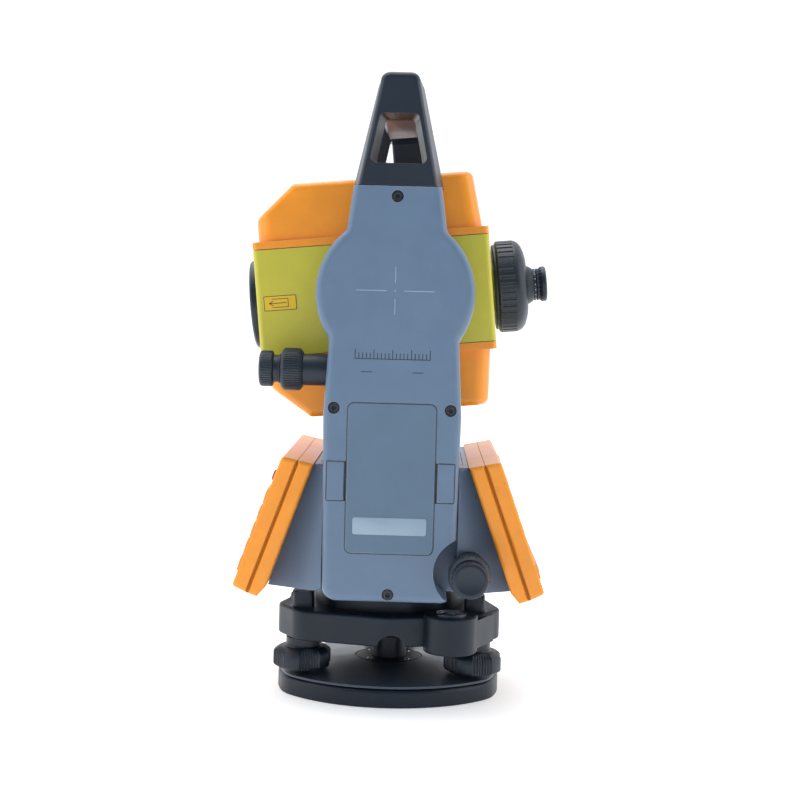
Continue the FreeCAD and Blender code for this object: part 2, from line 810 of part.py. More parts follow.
def make_alidade_base():
    shell = slab("XZ_Plane", trapezoid(D.alidade_bottom, D.alidade_top, 0),
                 -D.alidade_half_depth, D.alidade_half_depth)
    soften(shell, D.alidade_edge_round,
           lambda e: at(e, "Y", D.alidade_half_depth) or at(e, "Y", -D.alidade_half_depth))
    wide, deep = D.alidade_half_bottom + 1, D.alidade_half_depth
    corner_x, corner_y = D.alidade_corner_half, D.alidade_corner_depth
    plan = slab("XY_Plane", [
        (wide, -corner_y), (wide, corner_y), (corner_x, deep), (-corner_x, deep),
        (-wide, corner_y), (-wide, -corner_y), (-corner_x, -deep), (corner_x, -deep)],
        D.alidade_bottom - 1, D.alidade_top + 1)
    shell = common(shell, plan)
    floor = D.alidade_bottom + D.wall
    ledge = D.alidade_top - D.deck_thickness
    inner = D.standard_split - D.seam - D.wall
    cavity_half = D.alidade_corner_depth - D.wall
    cavity = slab("XZ_Plane", trapezoid(floor, ledge - D.wall, D.wall * 1.4), -cavity_half, cavity_half)
    deck_half = half_width_at(D.alidade_top) - D.wall
    opening = block((-deck_half, -inner, ledge - D.wall * 2), (deck_half, inner, D.alidade_top + 1))
    tools = [cavity, opening, cylinder(D.spindle_radius, D.wall * 3, z=D.alidade_bottom - D.wall)]
    notch = D.column_half_wide + D.free_gap / 2
    for side in (-1, 1):
        near, far = D.standard_split - D.seam, D.alidade_half_depth + 1
        low, high = (near, far) if side > 0 else (-far, -near)
        tools.append(block((-notch, low, D.alidade_bottom - 1), (notch, high, D.alidade_top + 1)))
    tools.append(cylinder(D.drive_sleeve_radius, D.wall * 3, D.horizontal_drive_x,
                          -D.alidade_half_depth - 1, D.horizontal_drive_z, "+Y"))
    piece(cut(shell, *tools), "alidade_base")
    gap = D.free_gap
    deck = block((-deck_half + gap, -inner + gap, ledge), (deck_half - gap, inner - gap, D.alidade_top))
    vial_length = D.plate_level_half_length * 2
    vial_start = -D.plate_level_half_length
    groove = cylinder(D.plate_level_radius, vial_length, D.plate_level_x, vial_start, D.alidade_top,
                      "+Y")
    piece(cut(deck, groove), "alidade_deck")
    vial = cylinder(D.plate_level_radius, vial_length, D.plate_level_x, vial_start, D.alidade_top,
                    "+Y")
    piece(rounded(vial, D.plate_level_radius * 0.4, lambda e: True), "plate_level_vial")
    make_main_board()


def make_main_board():
    """A circuit board with its processor, shielded radio and connector block, on a stand."""
    half_x, half_y = D.board_half_width, D.board_half_length
    level = D.board_height
    face = level + D.board_thickness
    board = block((-half_x, -half_y, level), (half_x, half_y, face))
    parts = [block((*low, face), (*high, face + height)) for low, high, height in BOARD_PARTS]
    stand = block((-half_x, half_y - D.board_stand, D.alidade_bottom + D.wall),
                  (-half_x + D.board_stand, half_y, level))
    piece(fuse(board, *parts, stand), "main_board")


# ---------------------------------------------------------------- standards
def column(bottom, inset):
    """The standard's outline without its round bulge, shrunk by the inset."""
    low = bottom + inset
    return [(-(D.column_half_bottom - inset), low), (D.column_half_bottom - inset, low),
            (D.column_half_wide - inset, D.column_wide_height),
            (D.column_half_waist - inset, D.column_waist_height),
            (D.neck_half_low - inset, D.neck_low_height), (D.neck_half_top - inset, D.standard_top - inset),
            (-(D.neck_half_top - inset), D.standard_top - inset),
            (-(D.neck_half_low - inset), D.neck_low_height),
            (-(D.column_half_waist - inset), D.column_waist_height),
            (-(D.column_half_wide - inset), D.column_wide_height)]


def standard_body(bottom, inset, low, high):
    """Column and bulge padded along Y."""
    body = slab("XZ_Plane", column(bottom, inset), low, high)
    ring = start_sketch(body, "XZ_Plane", -as_size(high))
    draw_circle(ring, D.bulge_radius - inset, (0, D.trunnion_height))
    pad(body, ring, as_size(high) - as_size(low))
    return body


def between(side, near, far):
    """The interval from near to far on one side of the XZ plane, low end first."""
    return (near, far) if side > 0 else (-as_size(far), -as_size(near))


def concave(edge):
    """The four edges where the bulge meets the column and the neck."""
    low, high = span(edge, "Z")
    margin = D.bulge_join_margin
    ledges = ((D.column_waist_height - margin).value, (D.neck_low_height + margin).value)
    return along(edge, "Y") and ledges[0] < low < ledges[1]


def standard_shell(side):
    low, high = between(side, D.standard_split, D.standard_outer)
    shell = standard_body(D.standard_bottom, 0, low, high)
    soften(shell, D.waist_round, concave)
    soften(shell, D.standard_corner_round, lambda e: along(e, "Y") and at(e, "Z", D.standard_bottom))
    face = D.standard_outer * side
    soften(shell, D.standard_rim_round, lambda e: at(e, "Y", face) and not at(e, "Z", D.standard_top))
    return shell


SCREW_SPOTS = ((0, D.standard_top - D.cover_screw_drop), (-D.cover_screw_x, D.cover_screw_middle),
               (D.cover_screw_x, D.cover_screw_middle), (0, D.cover_screw_low))


def screw_tools(side):
    """Counterbores and clearance holes for a cover's four screws."""
    tools = []
    for x, z in SCREW_SPOTS:
        axis = "-Y" if side > 0 else "+Y"
        tools.append(cylinder(D.screw_head_radius + D.free_gap, D.screw_head_depth + 1, x,
                              (D.standard_outer + 1) * side, z, axis))
        tools.append(cylinder(D.screw_shank_radius + D.running_gap, D.screw_shank_length + 2, x,
                              D.standard_outer * side, z, axis))
    return tools


def make_screws():
    screws = []
    sink = D.screw_sink
    for side in (-1, 1):
        for x, z in SCREW_SPOTS:
            head_start = D.screw_head_depth - sink
            profile = [(0, 0), (D.screw_head_radius, 0), (D.screw_head_radius, head_start),
                       (D.screw_shank_radius, head_start), (D.screw_shank_radius, D.screw_shank_length),
                       (0, D.screw_shank_length)]
            axis = "-Y" if side > 0 else "+Y"
            screws.append(turned(profile, x, (D.standard_outer - sink) * side, z, axis))
    piece(group(*screws), "casing_screws")


def make_near_cover():
    shell = standard_shell(-1)
    face, back = -D.standard_outer, -D.standard_split
    upper = D.battery_top + D.wall * 2
    wide = D.bulge_radius + D.overcut
    inner_face = face + D.wall
    hollow = standard_body(D.standard_bottom, D.wall, inner_face, back + D.overcut)
    hollow = common(hollow, block((-wide, face, upper),
                                  (wide, back + D.overcut, D.standard_top - D.wall * 4)))
    bay_half = D.battery_half_width + D.seam
    bay = slab("XZ_Plane", [(-bay_half, D.battery_bottom - D.seam), (bay_half, D.battery_bottom - D.seam),
                            (bay_half, D.battery_top + D.seam), (-bay_half, D.battery_top + D.seam)],
               face - D.overcut, back + D.overcut)
    soften(bay, D.battery_corner_round, lambda e: along(e, "Y"))
    tools = [hollow, bay]
    for side in (-1, 1):
        near, far = between(side, bay_half - D.overcut, D.latch_far + D.seam)
        tools.append(block((near, face - D.overcut, D.latch_bottom - D.seam),
                           (far, face + D.latch_recess_depth, D.latch_top + D.seam)))
        core_near, core_far = between(side, bay_half + D.wall, D.column_half_bottom - D.wall)
        tools.append(block((core_near, face + D.latch_recess_depth + D.wall, D.latch_core_bottom),
                           (core_far, back + D.overcut, D.latch_core_top)))
    tools.append(cylinder(D.scoop_radius, D.standard_outer, D.horizontal_drive_x, back + D.overcut,
                          D.horizontal_drive_z, "-Y"))
    tools.append(block((-D.column_half_bottom + D.wall * 2, inner_face + D.wall,
                        D.standard_bottom + D.drive_core_rise),
                       (D.horizontal_drive_x - D.scoop_radius - D.wall, back + D.overcut,
                        D.battery_bottom - D.wall)))
    tools.append(cylinder(D.drive_sleeve_radius, D.column_half_wide, -D.bulge_radius,
                          D.vertical_drive_y, D.vertical_drive_z, "+X"))
    piece(cut(shell, *tools, *screw_tools(-1)), "near_standard_cover")


def make_far_cover():
    shell = standard_shell(1)
    face, back = D.standard_outer, D.standard_split
    wide = D.bulge_radius + D.overcut
    hollow = standard_body(D.standard_bottom, D.wall, back - D.overcut, face - D.wall - D.port_depth)
    hollow = common(hollow, block((-wide, back - D.overcut, D.standard_bottom + D.far_core_rise),
                                  (wide, face, D.standard_top - D.wall * 4)))
    gap = D.seam
    port = block((-D.port_half_width - gap, face - D.port_depth, D.port_bottom - gap),
                 (D.port_half_width + gap, face + D.overcut, D.port_top + gap))
    piece(cut(shell, hollow, port, *screw_tools(1)), "far_standard_cover")
    hinge = D.port_cover_thickness / 2
    flap = block((-D.port_half_width, face - hinge * 2, D.port_bottom + hinge),
                 (D.port_half_width, face, D.port_top))
    barrel = cylinder(hinge, D.port_half_width * 2, -D.port_half_width, face - hinge,
                      D.port_bottom + hinge, "+X")
    pull = block((-D.port_pull_half, face - hinge, D.port_top - D.port_pull_half),
                 (D.port_pull_half, face + D.port_pull_rise, D.port_top - D.port_pull_rise))
    piece(fuse(flap, barrel, pull), "port_cover")


def make_frame(side, label):
    """The cast upright that carries one trunnion bearing."""
    low, high = between(side, D.standard_inner, D.standard_split)
    upright = standard_body(D.alidade_top, 0, low, high)
    soften(upright, D.waist_round, concave)
    start = D.standard_inner - D.overcut
    bore = cylinder(D.bearing_radius, D.standard_split, 0, start * side, D.trunnion_height,
                    "+Y" if side > 0 else "-Y")
    piece(cut(upright, bore), label)


def make_trunnion():
    width = D.standard_split - D.standard_inner
    bearings, axles = [], []
    for side, axis in ((-1, "-Y"), (1, "+Y")):
        bearings.append(tube(D.bearing_radius, D.trunnion_radius + D.running_gap, width, 0,
                             D.standard_inner * side, D.trunnion_height, axis))
        start = D.telescope_half_width
        step = start + D.trunnion_flange_thickness
        axles.append(turned([
            (0, start), (D.trunnion_flange_radius, start), (D.trunnion_flange_radius, step),
            (D.trunnion_radius, step), (D.trunnion_radius, D.trunnion_end),
            (0, D.trunnion_end)], 0, 0, D.trunnion_height, axis))
    piece(group(*bearings), "trunnion_bearings")
    piece(group(*axles), "trunnion_axles")
    piece(tube(D.circle_radius, D.trunnion_radius, D.circle_thickness, 0,
               D.standard_split + D.vertical_circle_gap, D.trunnion_height, "+Y"), "vertical_circle")


# ---------------------------------------------------------------- battery
def make_battery():
    face = -(D.standard_outer + D.battery_proud)
    half, corner = D.battery_half_width, D.battery_corner_round
    plate = slab("XZ_Plane", [(-half, D.battery_bottom), (half, D.battery_bottom),
                              (half, D.battery_top), (-half, D.battery_top)],
                 face, face + D.battery_plate)
    soften(plate, corner, lambda e: along(e, "Y"))
    soften(plate, D.battery_proud, lambda e: at(e, "Y", face))
    piece(plate, "battery_cover")
    start = face + D.battery_plate
    inset = D.seam
    case = block((-half + inset, start, D.battery_bottom + inset),
                 (half - inset, start + D.battery_depth, D.battery_top - inset))
    piece(rounded(case, corner, lambda e: along(e, "Y")), "battery_case")
    for side, name in ((-1, "left"), (1, "right")):
        near, far = between(side, D.latch_near, D.latch_far)
        latch_face = -D.standard_outer - D.battery_proud / 2
        latch = block((near, latch_face, D.latch_bottom), (far, latch_face + D.latch_thickness, D.latch_top))
        piece(rounded(latch, D.battery_proud, lambda e: at(e, "Y", latch_face)), f"battery_latch_{name}")


# ---------------------------------------------------------------- clamp and tangent drives
def make_drive(name, sleeve, x, y, z, axis):
    """Sleeve in the casing, clamp ring round it, and tangent knob through it."""
    bore = D.drive_shaft_radius + D.running_gap
    root = -D.wall * 2
    ring_end = sleeve + D.drive_ring_length
    piece(turned([(bore, root), (D.drive_sleeve_radius, root), (D.drive_sleeve_radius, sleeve),
                  (D.drive_journal_radius, sleeve), (D.drive_journal_radius, ring_end),
                  (bore, ring_end)], x, y, z, axis), f"{name}_drive_sleeve")
    ring_bore = D.drive_journal_radius + D.running_gap
    low, high = sleeve + D.free_gap, ring_end - D.free_gap
    bevel = D.drive_ring_chamfer
    piece(turned([(ring_bore, low), (D.drive_ring_radius - bevel, low), (D.drive_ring_radius, low + bevel),
                  (D.drive_ring_radius, high - bevel), (D.drive_ring_radius - bevel, high),
                  (ring_bore, high)], x, y, z, axis), f"{name}_clamp_ring")
    neck = ring_end + D.free_gap
    cap = ring_end + D.drive_neck_length
    end = cap + D.drive_cap_length
    soft = D.drive_cap_round
    piece(turned([(0, root), (D.drive_shaft_radius, root), (D.drive_shaft_radius, neck),
                  (D.drive_neck_radius, neck), (D.drive_neck_radius, cap), (D.drive_cap_radius - soft, cap),
                  (D.drive_cap_radius, cap + soft), (D.drive_cap_radius, end - soft),
                  (D.drive_cap_radius - soft, end), (0, end)], x, y, z, axis), f"{name}_tangent_knob")


# ---------------------------------------------------------------- keyboards
def keyboard_rotation(side):
    """Local x runs to the operator's right, y up the face and z out of the face."""
    tilt = math.radians(D.keyboard_tilt.value)
    x_axis = Vector(0, side, 0)
    y_axis = Vector(-side * math.sin(tilt), 0, math.cos(tilt))
    z_axis = Vector(side * math.cos(tilt), 0, math.sin(tilt))
    return Rotation(x_axis, y_axis, z_axis, "XYZ")


def key_spots():
    """Centres of the numeric keys and of the function keys under the display."""
    spots = []
    columns = range(int(D.key_column_count.value))
    for row in range(int(D.key_row_count.value)):
        for col in columns:
            spots.append((D.key_columns_first + D.key_columns_pitch * col,
                          D.key_rows_first + D.key_rows_pitch * row))
    for col in columns:
        spots.append((D.function_key_first + D.function_key_pitch * col, D.key_rows_first))
    return spots


def key_block(spot, grow, low, high):
    x, y = spot
    half_x, half_y = D.key_length / 2 + grow, D.key_height / 2 + grow
    return block((x - half_x, y - half_y, low), (x + half_x, y + half_y, high))


def make_keyboard(side, name):
    rotation = keyboard_rotation(side)
    spot = (D.keyboard_foot_x * side, 0, D.keyboard_foot_z)
    half = D.keyboard_half_width
    split = D.keyboard_split
    lean = D.keyboard_top_slant * split / D.keyboard_depth
    front = slab("YZ_Plane", [(0, 0), (D.keyboard_edge_lean, -split), (D.keyboard_height + lean, -split),
                              (D.keyboard_height, 0)], -half, half)
    soften(front, D.keyboard_rim_round, lambda e: at(e, "Z", 0) or at(e, "X", half) or at(e, "X", -half))
    gap, over = D.seam, D.overcut
    window = block((D.display_left - gap, D.display_bottom - gap, -split - over),
                   (D.display_right + gap, D.display_top + gap, over))
    sheet_top = -D.keyboard_wall
    margin, pitch = D.key_length, D.key_rows_pitch
    low_y, high_y = D.key_rows_first - pitch / 2, D.key_rows_first + pitch * (D.key_row_count - 0.5)
    keypad_left, function_left = D.key_columns_first - margin, D.function_key_first - margin
    keypad_right = half - D.keyboard_wall * 2
    function_top = low_y + pitch
    keypad_room = [
        block((keypad_left - gap, low_y - gap, -split - over), (keypad_right + gap, high_y + gap, sheet_top)),
        block((function_left - gap, low_y - gap, -split - over),
              (keypad_left + gap, function_top + gap, sheet_top))]
    ridge_half = D.key_height / 2 + D.key_ridge_margin
    rise = D.key_ridge_rise
    ridges = []
    for row in range(int(D.key_row_count.value)):
        y = D.key_rows_first + pitch * row
        ridges.append(block((keypad_left, y - ridge_half, -rise), (half - rise, y + ridge_half, rise)))
    y = D.key_rows_first
    ridges.append(block((rise - half, y - ridge_half, -rise), (keypad_left, y + ridge_half, rise)))
    holes = [key_block(key, D.free_gap, -split, over) for key in key_spots()]
    power_hole = cylinder(D.power_key_radius + D.free_gap, split + over * 2, D.power_key_x,
                          D.power_key_y, -split - over)
    front = cut(fuse(front, *ridges), window, *keypad_room, *holes, power_hole)
    piece(place(front, *spot, rotation), f"keyboard_{name}_front")

    back_top = -split - D.seam
    deep = -D.keyboard_depth
    lean_back = D.keyboard_top_slant * (split + D.seam) / D.keyboard_depth
    back = slab("YZ_Plane", [(D.keyboard_edge_lean, back_top),
                             (D.keyboard_edge_lean, deep + D.keyboard_foot_bevel),
                             (D.keyboard_foot_rise, deep),
                             (D.keyboard_height + D.keyboard_top_slant, deep),
                             (D.keyboard_height + lean_back, back_top)], -half, half)
    soften(back, D.keyboard_rim_round, lambda e: at(e, "X", half) or at(e, "X", -half))
    wall = D.keyboard_wall
    hollow = block((-half + wall * 2, D.keyboard_foot_rise + D.keyboard_floor, deep + wall),
                   (half - wall * 2, D.keyboard_height - wall, 0))
    back = cut(back, hollow)
    piece(place(back, *spot, rotation), f"keyboard_{name}_back")

    pane_top = -D.display_sink
    pane = block((D.display_left, D.display_bottom, pane_top - D.display_thickness),
                 (D.display_right, D.display_top, pane_top))
    piece(place(group(pane), *spot, rotation), f"display_{name}")

    low = sheet_top - D.keypad_sheet
    sheets = [block((keypad_left, low_y, low), (keypad_right, high_y, sheet_top)),
              block((function_left, low_y, low), (keypad_left + gap, function_top, sheet_top))]
    keys = [key_block(key, 0, low, D.key_proud) for key in key_spots()]
    keypad = fuse(*sheets, *keys)
    piece(place(keypad, *spot, rotation), f"keypad_{name}")

    power = cylinder(D.power_key_radius, D.power_key_depth, D.power_key_x, D.power_key_y,
                     D.power_key_proud - D.power_key_depth)
    power = rounded(power, D.free_gap * 3, lambda e: at(e, "Z", D.power_key_proud))
    piece(place(group(power), *spot, rotation), f"power_key_{name}")


# ---------------------------------------------------------------- handle
def make_handle():
    foot = D.standard_top + D.seam
    legs = []
    for side in (-1, 1):
        low, high = between(side, D.handle_leg_inner, D.standard_outer)
        half = D.handle_foot_half
        leg = slab("XZ_Plane", [(-half, foot), (half, foot), (D.handle_shoulder_half, D.handle_top),
                                (-D.handle_shoulder_half, D.handle_top)], low, high)
        soften(leg, D.handle_crown_round, lambda e: along(e, "Y") and at(e, "Z", D.handle_top))
        face = D.standard_outer * side
        soften(leg, D.handle_bevel, lambda e: at(e, "Y", face) and not at(e, "Z", foot))
        legs.append(leg)
    reach = D.handle_leg_inner + D.grip_bite
    grip = block((-D.grip_half, -reach, D.grip_bottom), (D.grip_half, reach, D.handle_top))
    grip = rounded(grip, D.grip_round, lambda e: along(e, "Y"))
    wide, narrow = D.window_half_bottom, D.window_half_top
    window = slab("XZ_Plane", [(-wide, D.window_bottom), (wide, D.window_bottom),
                               (narrow, D.window_top), (-narrow, D.window_top)],
                  -D.standard_outer - D.overcut, D.standard_outer + D.overcut)
    soften(window, D.window_round, lambda e: along(e, "Y"))
    tools = [window]
    screws = []
    seat = D.window_bottom - D.handle_seat_drop
    head, shank, shank_end = D.handle_head_radius, D.handle_shank_radius, -D.handle_shank_length
    for x in (-D.handle_screw_x, D.handle_screw_x):
        for y in (-D.handle_screw_y, D.handle_screw_y):
            tools.append(cylinder(head + D.seam, D.handle_head_height * 2, x, y, seat))
            tools.append(cylinder(shank + D.running_gap, seat - foot + D.overcut * 2, x, y,
                                  foot - D.overcut))
            screws.append(turned([(0, shank_end), (shank, shank_end), (shank, 0), (head, 0),
                                  (head, D.handle_head_height), (0, D.handle_head_height)], x, y, seat))
    piece(cut(fuse(*legs, grip), *tools), "carrying_handle")
    piece(group(*screws), "handle_screws")


# ---------------------------------------------------------------- telescope
def on_telescope(thing, label):
    """Lay a piece made in the telescope's own frame along the tilted line of sight."""
    tilt = Rotation(Vector(0, 1, 0), -D.telescope_tilt.value)
    piece(place(group(thing), 0, 0, D.trunnion_height, tilt), label)


def make_telescope_body():
    front, back = D.telescope_front, D.telescope_back
    half_y, half_z = D.telescope_half_width, D.telescope_half_height
    outer = block((front, -half_y, -half_z), (back, half_y, half_z))
    outer = rounded(outer, D.wall, lambda e: along(e, "Z"))
    wall = D.wall
    room = block((front + wall, -half_y + wall, -half_z - D.overcut),
                 (back - wall, half_y - wall, half_z + D.overcut))
    casing = cut(outer, room)
    boss = cylinder(D.eye_boss_radius, D.eye_boss_back - back + wall, back - wall, 0, 0, "+X")
    carrier = block((D.barrel_back - D.carrier_thickness, -half_y, -half_z + D.bevel),
                    (D.barrel_back, half_y, half_z - D.bevel))
    bores = [cylinder(D.barrel_radius, D.barrel_back - front + wall, front - wall, 0, 0, "+X"),
             cylinder(D.eye_tube_radius + D.running_gap, D.eye_boss_back, wall, 0, 0, "+X")]
    on_telescope(cut(fuse(casing, boss, carrier), *bores), "telescope_body")


def hump_outline(side, inset):
    seat = D.telescope_half_height + D.seam
    rise = D.hump_height - inset
    points = [(D.hump_front + inset, seat), (D.hump_front + inset, D.hump_front_height),
              (D.hump_top_front + inset * D.hump_front_lean, rise),
              (D.hump_top_back - inset * D.hump_back_lean, rise),
              (D.hump_back_foot - inset, seat)]
    return [(x, as_size(z) * side) for x, z in points]


def make_telescope_cover(side, label):
    """Hollow hump, round-cornered in plan, on a lip that sits on the telescope body."""
    half_y = D.hump_half_width
    seat = (D.telescope_half_height + D.seam) * side

    def radius_of(edge):
        touches = [abs(level - seat.value) < TOLERANCE for level in span(edge, "Z")]
        if all(touches):
            return None
        return D.hump_corner_round if any(touches) else D.hump_round

    hump = rounded_by(slab("XZ_Plane", hump_outline(side, 0), -half_y, half_y), radius_of)
    levels = sorted([seat, seat + D.lip_height * side], key=lambda size: size.value)
    lip = block((D.telescope_front, -D.telescope_half_width, levels[0]),
                (D.telescope_back, D.telescope_half_width, levels[1]))
    lip = rounded(lip, D.wall, lambda e: along(e, "Z"))
    thick = D.hump_wall
    hollow = slab("XZ_Plane", hump_outline(side, thick), -half_y + thick, half_y - thick)
    on_telescope(cut(fuse(hump, lip), hollow), label)


def make_objective():
    front, back, bevel = D.barrel_front, D.barrel_back, D.bevel
    step = back - D.carrier_thickness
    spigot = D.barrel_radius - D.carrier_step
    on_telescope(turned([
        (D.barrel_bore, front + bevel), (D.barrel_bore + D.barrel_lip, front),
        (D.barrel_radius - bevel, front), (D.barrel_radius, front + bevel), (D.barrel_radius, step),
        (spigot, step), (spigot, back), (D.barrel_bore, back)], axis="+X"), "objective_barrel")
    rim = D.barrel_bore - D.running_gap
    glass_back = D.objective_front + D.objective_thickness
    on_telescope(turned([
        (0, D.objective_front - D.objective_crown),
        (D.objective_shoulder, D.objective_front - D.objective_rise),
        (rim, D.objective_front), (rim, glass_back), (0, glass_back)], axis="+X"), "objective_lens")
    cell_back = D.cell_front + D.cell_length
    on_telescope(turned([
        (0, D.cell_front), (rim, D.cell_front), (rim, cell_back), (D.cell_bore, cell_back),
        (D.cell_bore, D.cell_front + D.cell_floor), (0, D.cell_front + D.cell_floor - D.bevel)],
        axis="+X"), "focusing_lens")


def make_eyepiece():
    bore = D.eye_boss_radius + D.running_gap
    cone_bore = D.eye_tube_radius + D.free_gap * 3
    grip = D.focus_radius
    step = grip - D.focus_bevel
    rim_front = D.focus_front + D.focus_rim_width
    cone_start = D.focus_cone_back - D.focus_bevel
    on_telescope(turned([
        (bore, D.focus_front), (step, D.focus_front), (step, rim_front), (grip, rim_front + D.bevel),
        (grip, D.focus_grip_back), (step, D.focus_grip_back + D.focus_rim_width),
        (D.focus_shoulder_radius, D.focus_shoulder_back), (D.focus_brow_radius, cone_start),
        (D.focus_cone_radius, D.focus_cone_back), (cone_bore, D.focus_cone_back),
        (cone_bore, D.eye_boss_back + D.free_gap), (bore, D.eye_boss_back + D.free_gap)],
        axis="+X"), "focus_ring")
    flare, lip = D.eye_flare_radius, D.eye_flare_lip
    tube_end, cup_end = D.eye_flare_front, D.eye_flare_back
    on_telescope(turned([
        (D.eye_bore, D.eye_tube_front), (D.eye_tube_radius, D.eye_tube_front),
        (D.eye_tube_radius, tube_end), (D.eye_flare_root, tube_end), (flare, cup_end - lip),
        (flare, cup_end - D.seam), (flare - D.seam, cup_end), (D.eye_bore + lip, cup_end),
        (D.eye_bore, cup_end - lip)], axis="+X"), "eyepiece_ring")
    on_telescope(cylinder(D.eye_bore, D.eye_lens_thickness, D.eye_lens_front, 0, 0, "+X"), "eyepiece_lens")


def make_sight():
    """Sighting collimator: a tube on a foot, on top of the telescope."""
    width = D.sight_half_width
    foot = block((D.sight_front, -width, D.hump_height),
                 (D.sight_back - D.sight_overhang, width, D.sight_tube_z))
    foot = rounded(foot, D.wall / 2, lambda e: along(e, "Z"))
    length = D.sight_back - D.sight_front
    barrel = cylinder(D.sight_tube_radius, length, D.sight_front, 0, D.sight_tube_z, "+X")
    bore = cylinder(D.sight_tube_bore, length + D.overcut * 2, D.sight_front - D.overcut, 0,
                    D.sight_tube_z, "+X")
    on_telescope(cut(fuse(foot, barrel), bore), "optical_sight")


# ---------------------------------------------------------------- the whole instrument
def build_all():
    make_base_plate()
    make_spring_plate()
    for side in FOOT_ANGLES:
        make_foot_screw(side)
    make_tribrach_body()
    make_lock()
    make_circular_level()
    make_vertical_axis()
    make_alidade_base()
    make_frame(-1, "near_standard_frame")
    make_frame(1, "far_standard_frame")
    make_near_cover()
    make_far_cover()
    make_screws()
    make_trunnion()
    make_battery()
    make_drive("vertical", D.vertical_sleeve_length, -D.column_half_wide + D.overcut, D.vertical_drive_y,
               D.vertical_drive_z, "-X")
    make_drive("horizontal", D.horizontal_sleeve_length, D.horizontal_drive_x, -D.alidade_half_depth,
               D.horizontal_drive_z, "-Y")
    make_keyboard(-1, "left")
    make_keyboard(1, "right")
    make_handle()
    make_telescope_body()
    make_telescope_cover(1, "telescope_top_cover")
    make_telescope_cover(-1, "telescope_bottom_cover")
    make_objective()
    make_eyepiece()
    make_sight()


def check_document():
    """Stop on any failed object and on any empty or broken solid."""
    doc.recompute()
    for thing in doc.Objects:
        bad = [word for word in thing.State if word in ("Invalid", "Error")]
        assert not bad, f"{thing.Label} ({thing.TypeId}): {bad}"
    for thing in PIECES:
        assert not thing.Shape.isNull(), f"{thing.Label} has no shape"
        assert thing.Shape.isValid(), f"{thing.Label} is not valid"
        assert thing.Shape.Volume > 1, f"{thing.Label} has no volume"


def export_pieces():
    for thing in PIECES:
        thing.Shape.exportStep(os.path.join("parts", f"{thing.Label}.step"))
        box = thing.Shape.BoundBox
        print(f"{thing.Label:24s} solids {len(thing.Shape.Solids)}  X {box.XMin:7.1f} {box.XMax:7.1f}"
              f"  Y {box.YMin:7.1f} {box.YMax:7.1f}  Z {box.ZMin:7.1f} {box.ZMax:7.1f}")


build_all()
check_document()
export_pieces()
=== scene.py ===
"""Looks of a surveying total station: materials, fine detail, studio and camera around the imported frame."""
import json
import math

import bmesh
import bpy
from mathutils import Matrix, Vector


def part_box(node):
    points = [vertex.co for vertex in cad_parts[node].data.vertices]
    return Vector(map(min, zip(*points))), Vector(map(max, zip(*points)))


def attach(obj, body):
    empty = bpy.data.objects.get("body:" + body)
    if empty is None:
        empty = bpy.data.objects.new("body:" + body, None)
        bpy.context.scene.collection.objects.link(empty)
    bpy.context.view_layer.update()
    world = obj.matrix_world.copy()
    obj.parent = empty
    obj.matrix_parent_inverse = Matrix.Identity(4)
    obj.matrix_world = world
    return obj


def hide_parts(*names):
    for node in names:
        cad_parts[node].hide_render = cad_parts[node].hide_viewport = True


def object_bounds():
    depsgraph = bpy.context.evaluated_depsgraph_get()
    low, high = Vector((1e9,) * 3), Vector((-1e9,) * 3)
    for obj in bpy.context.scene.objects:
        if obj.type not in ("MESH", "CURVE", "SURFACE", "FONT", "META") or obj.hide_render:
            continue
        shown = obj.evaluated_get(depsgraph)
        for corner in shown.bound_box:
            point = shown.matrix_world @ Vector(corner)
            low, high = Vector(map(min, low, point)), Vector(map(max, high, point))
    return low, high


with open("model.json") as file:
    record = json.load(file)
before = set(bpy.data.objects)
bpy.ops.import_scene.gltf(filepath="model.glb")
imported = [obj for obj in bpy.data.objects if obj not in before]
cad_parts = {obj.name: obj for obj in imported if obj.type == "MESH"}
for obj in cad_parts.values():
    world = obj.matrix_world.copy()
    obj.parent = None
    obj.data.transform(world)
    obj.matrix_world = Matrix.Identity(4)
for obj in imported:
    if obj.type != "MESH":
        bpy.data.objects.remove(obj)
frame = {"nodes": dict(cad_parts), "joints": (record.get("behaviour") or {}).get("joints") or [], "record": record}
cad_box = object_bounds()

MM = 0.001
NODES = frame["nodes"]
SLOT_OF = {piece["node"]: piece["material_slot"] for piece in frame["record"]["subparts"]}


# ------------------------------------------------------------------ camera and studio

CAMERA_PLACE = Vector((16.3, -950.0, 233.0)) * MM
CAMERA_PITCH = math.radians(3.7)
CAMERA_YAW = math.radians(0.81)
CAMERA_ROLL = math.radians(1.5)
CAMERA_LENS = 71.2
CAMERA_SENSOR = 36.0
CAMERA_CLIP = (0.05, 50.0)
FLOOR_RADIUS = 60.0
FLOOR_DROP = 0.0002
BACK_SURROUND = (1.12, 1.16, 1.20, 1.0)
FRONT_SURROUND = (0.30, 0.36, 0.42, 1.0)
SURROUND_BLEND = (-0.75, 0.05)
STUDIO_MIDDLE = (0.0, 0.0, 0.18)
LIGHTS = (  # name, place, size and power
    ("light_overhead", (-0.3, 0.3, 1.6), (1.6, 1.6), 18.0),
    ("light_left", (-1.6, -0.6, 0.9), (1.0, 1.4), 5.0),
    ("light_right", (1.6, -0.2, 0.8), (1.0, 1.4), 5.0),
)


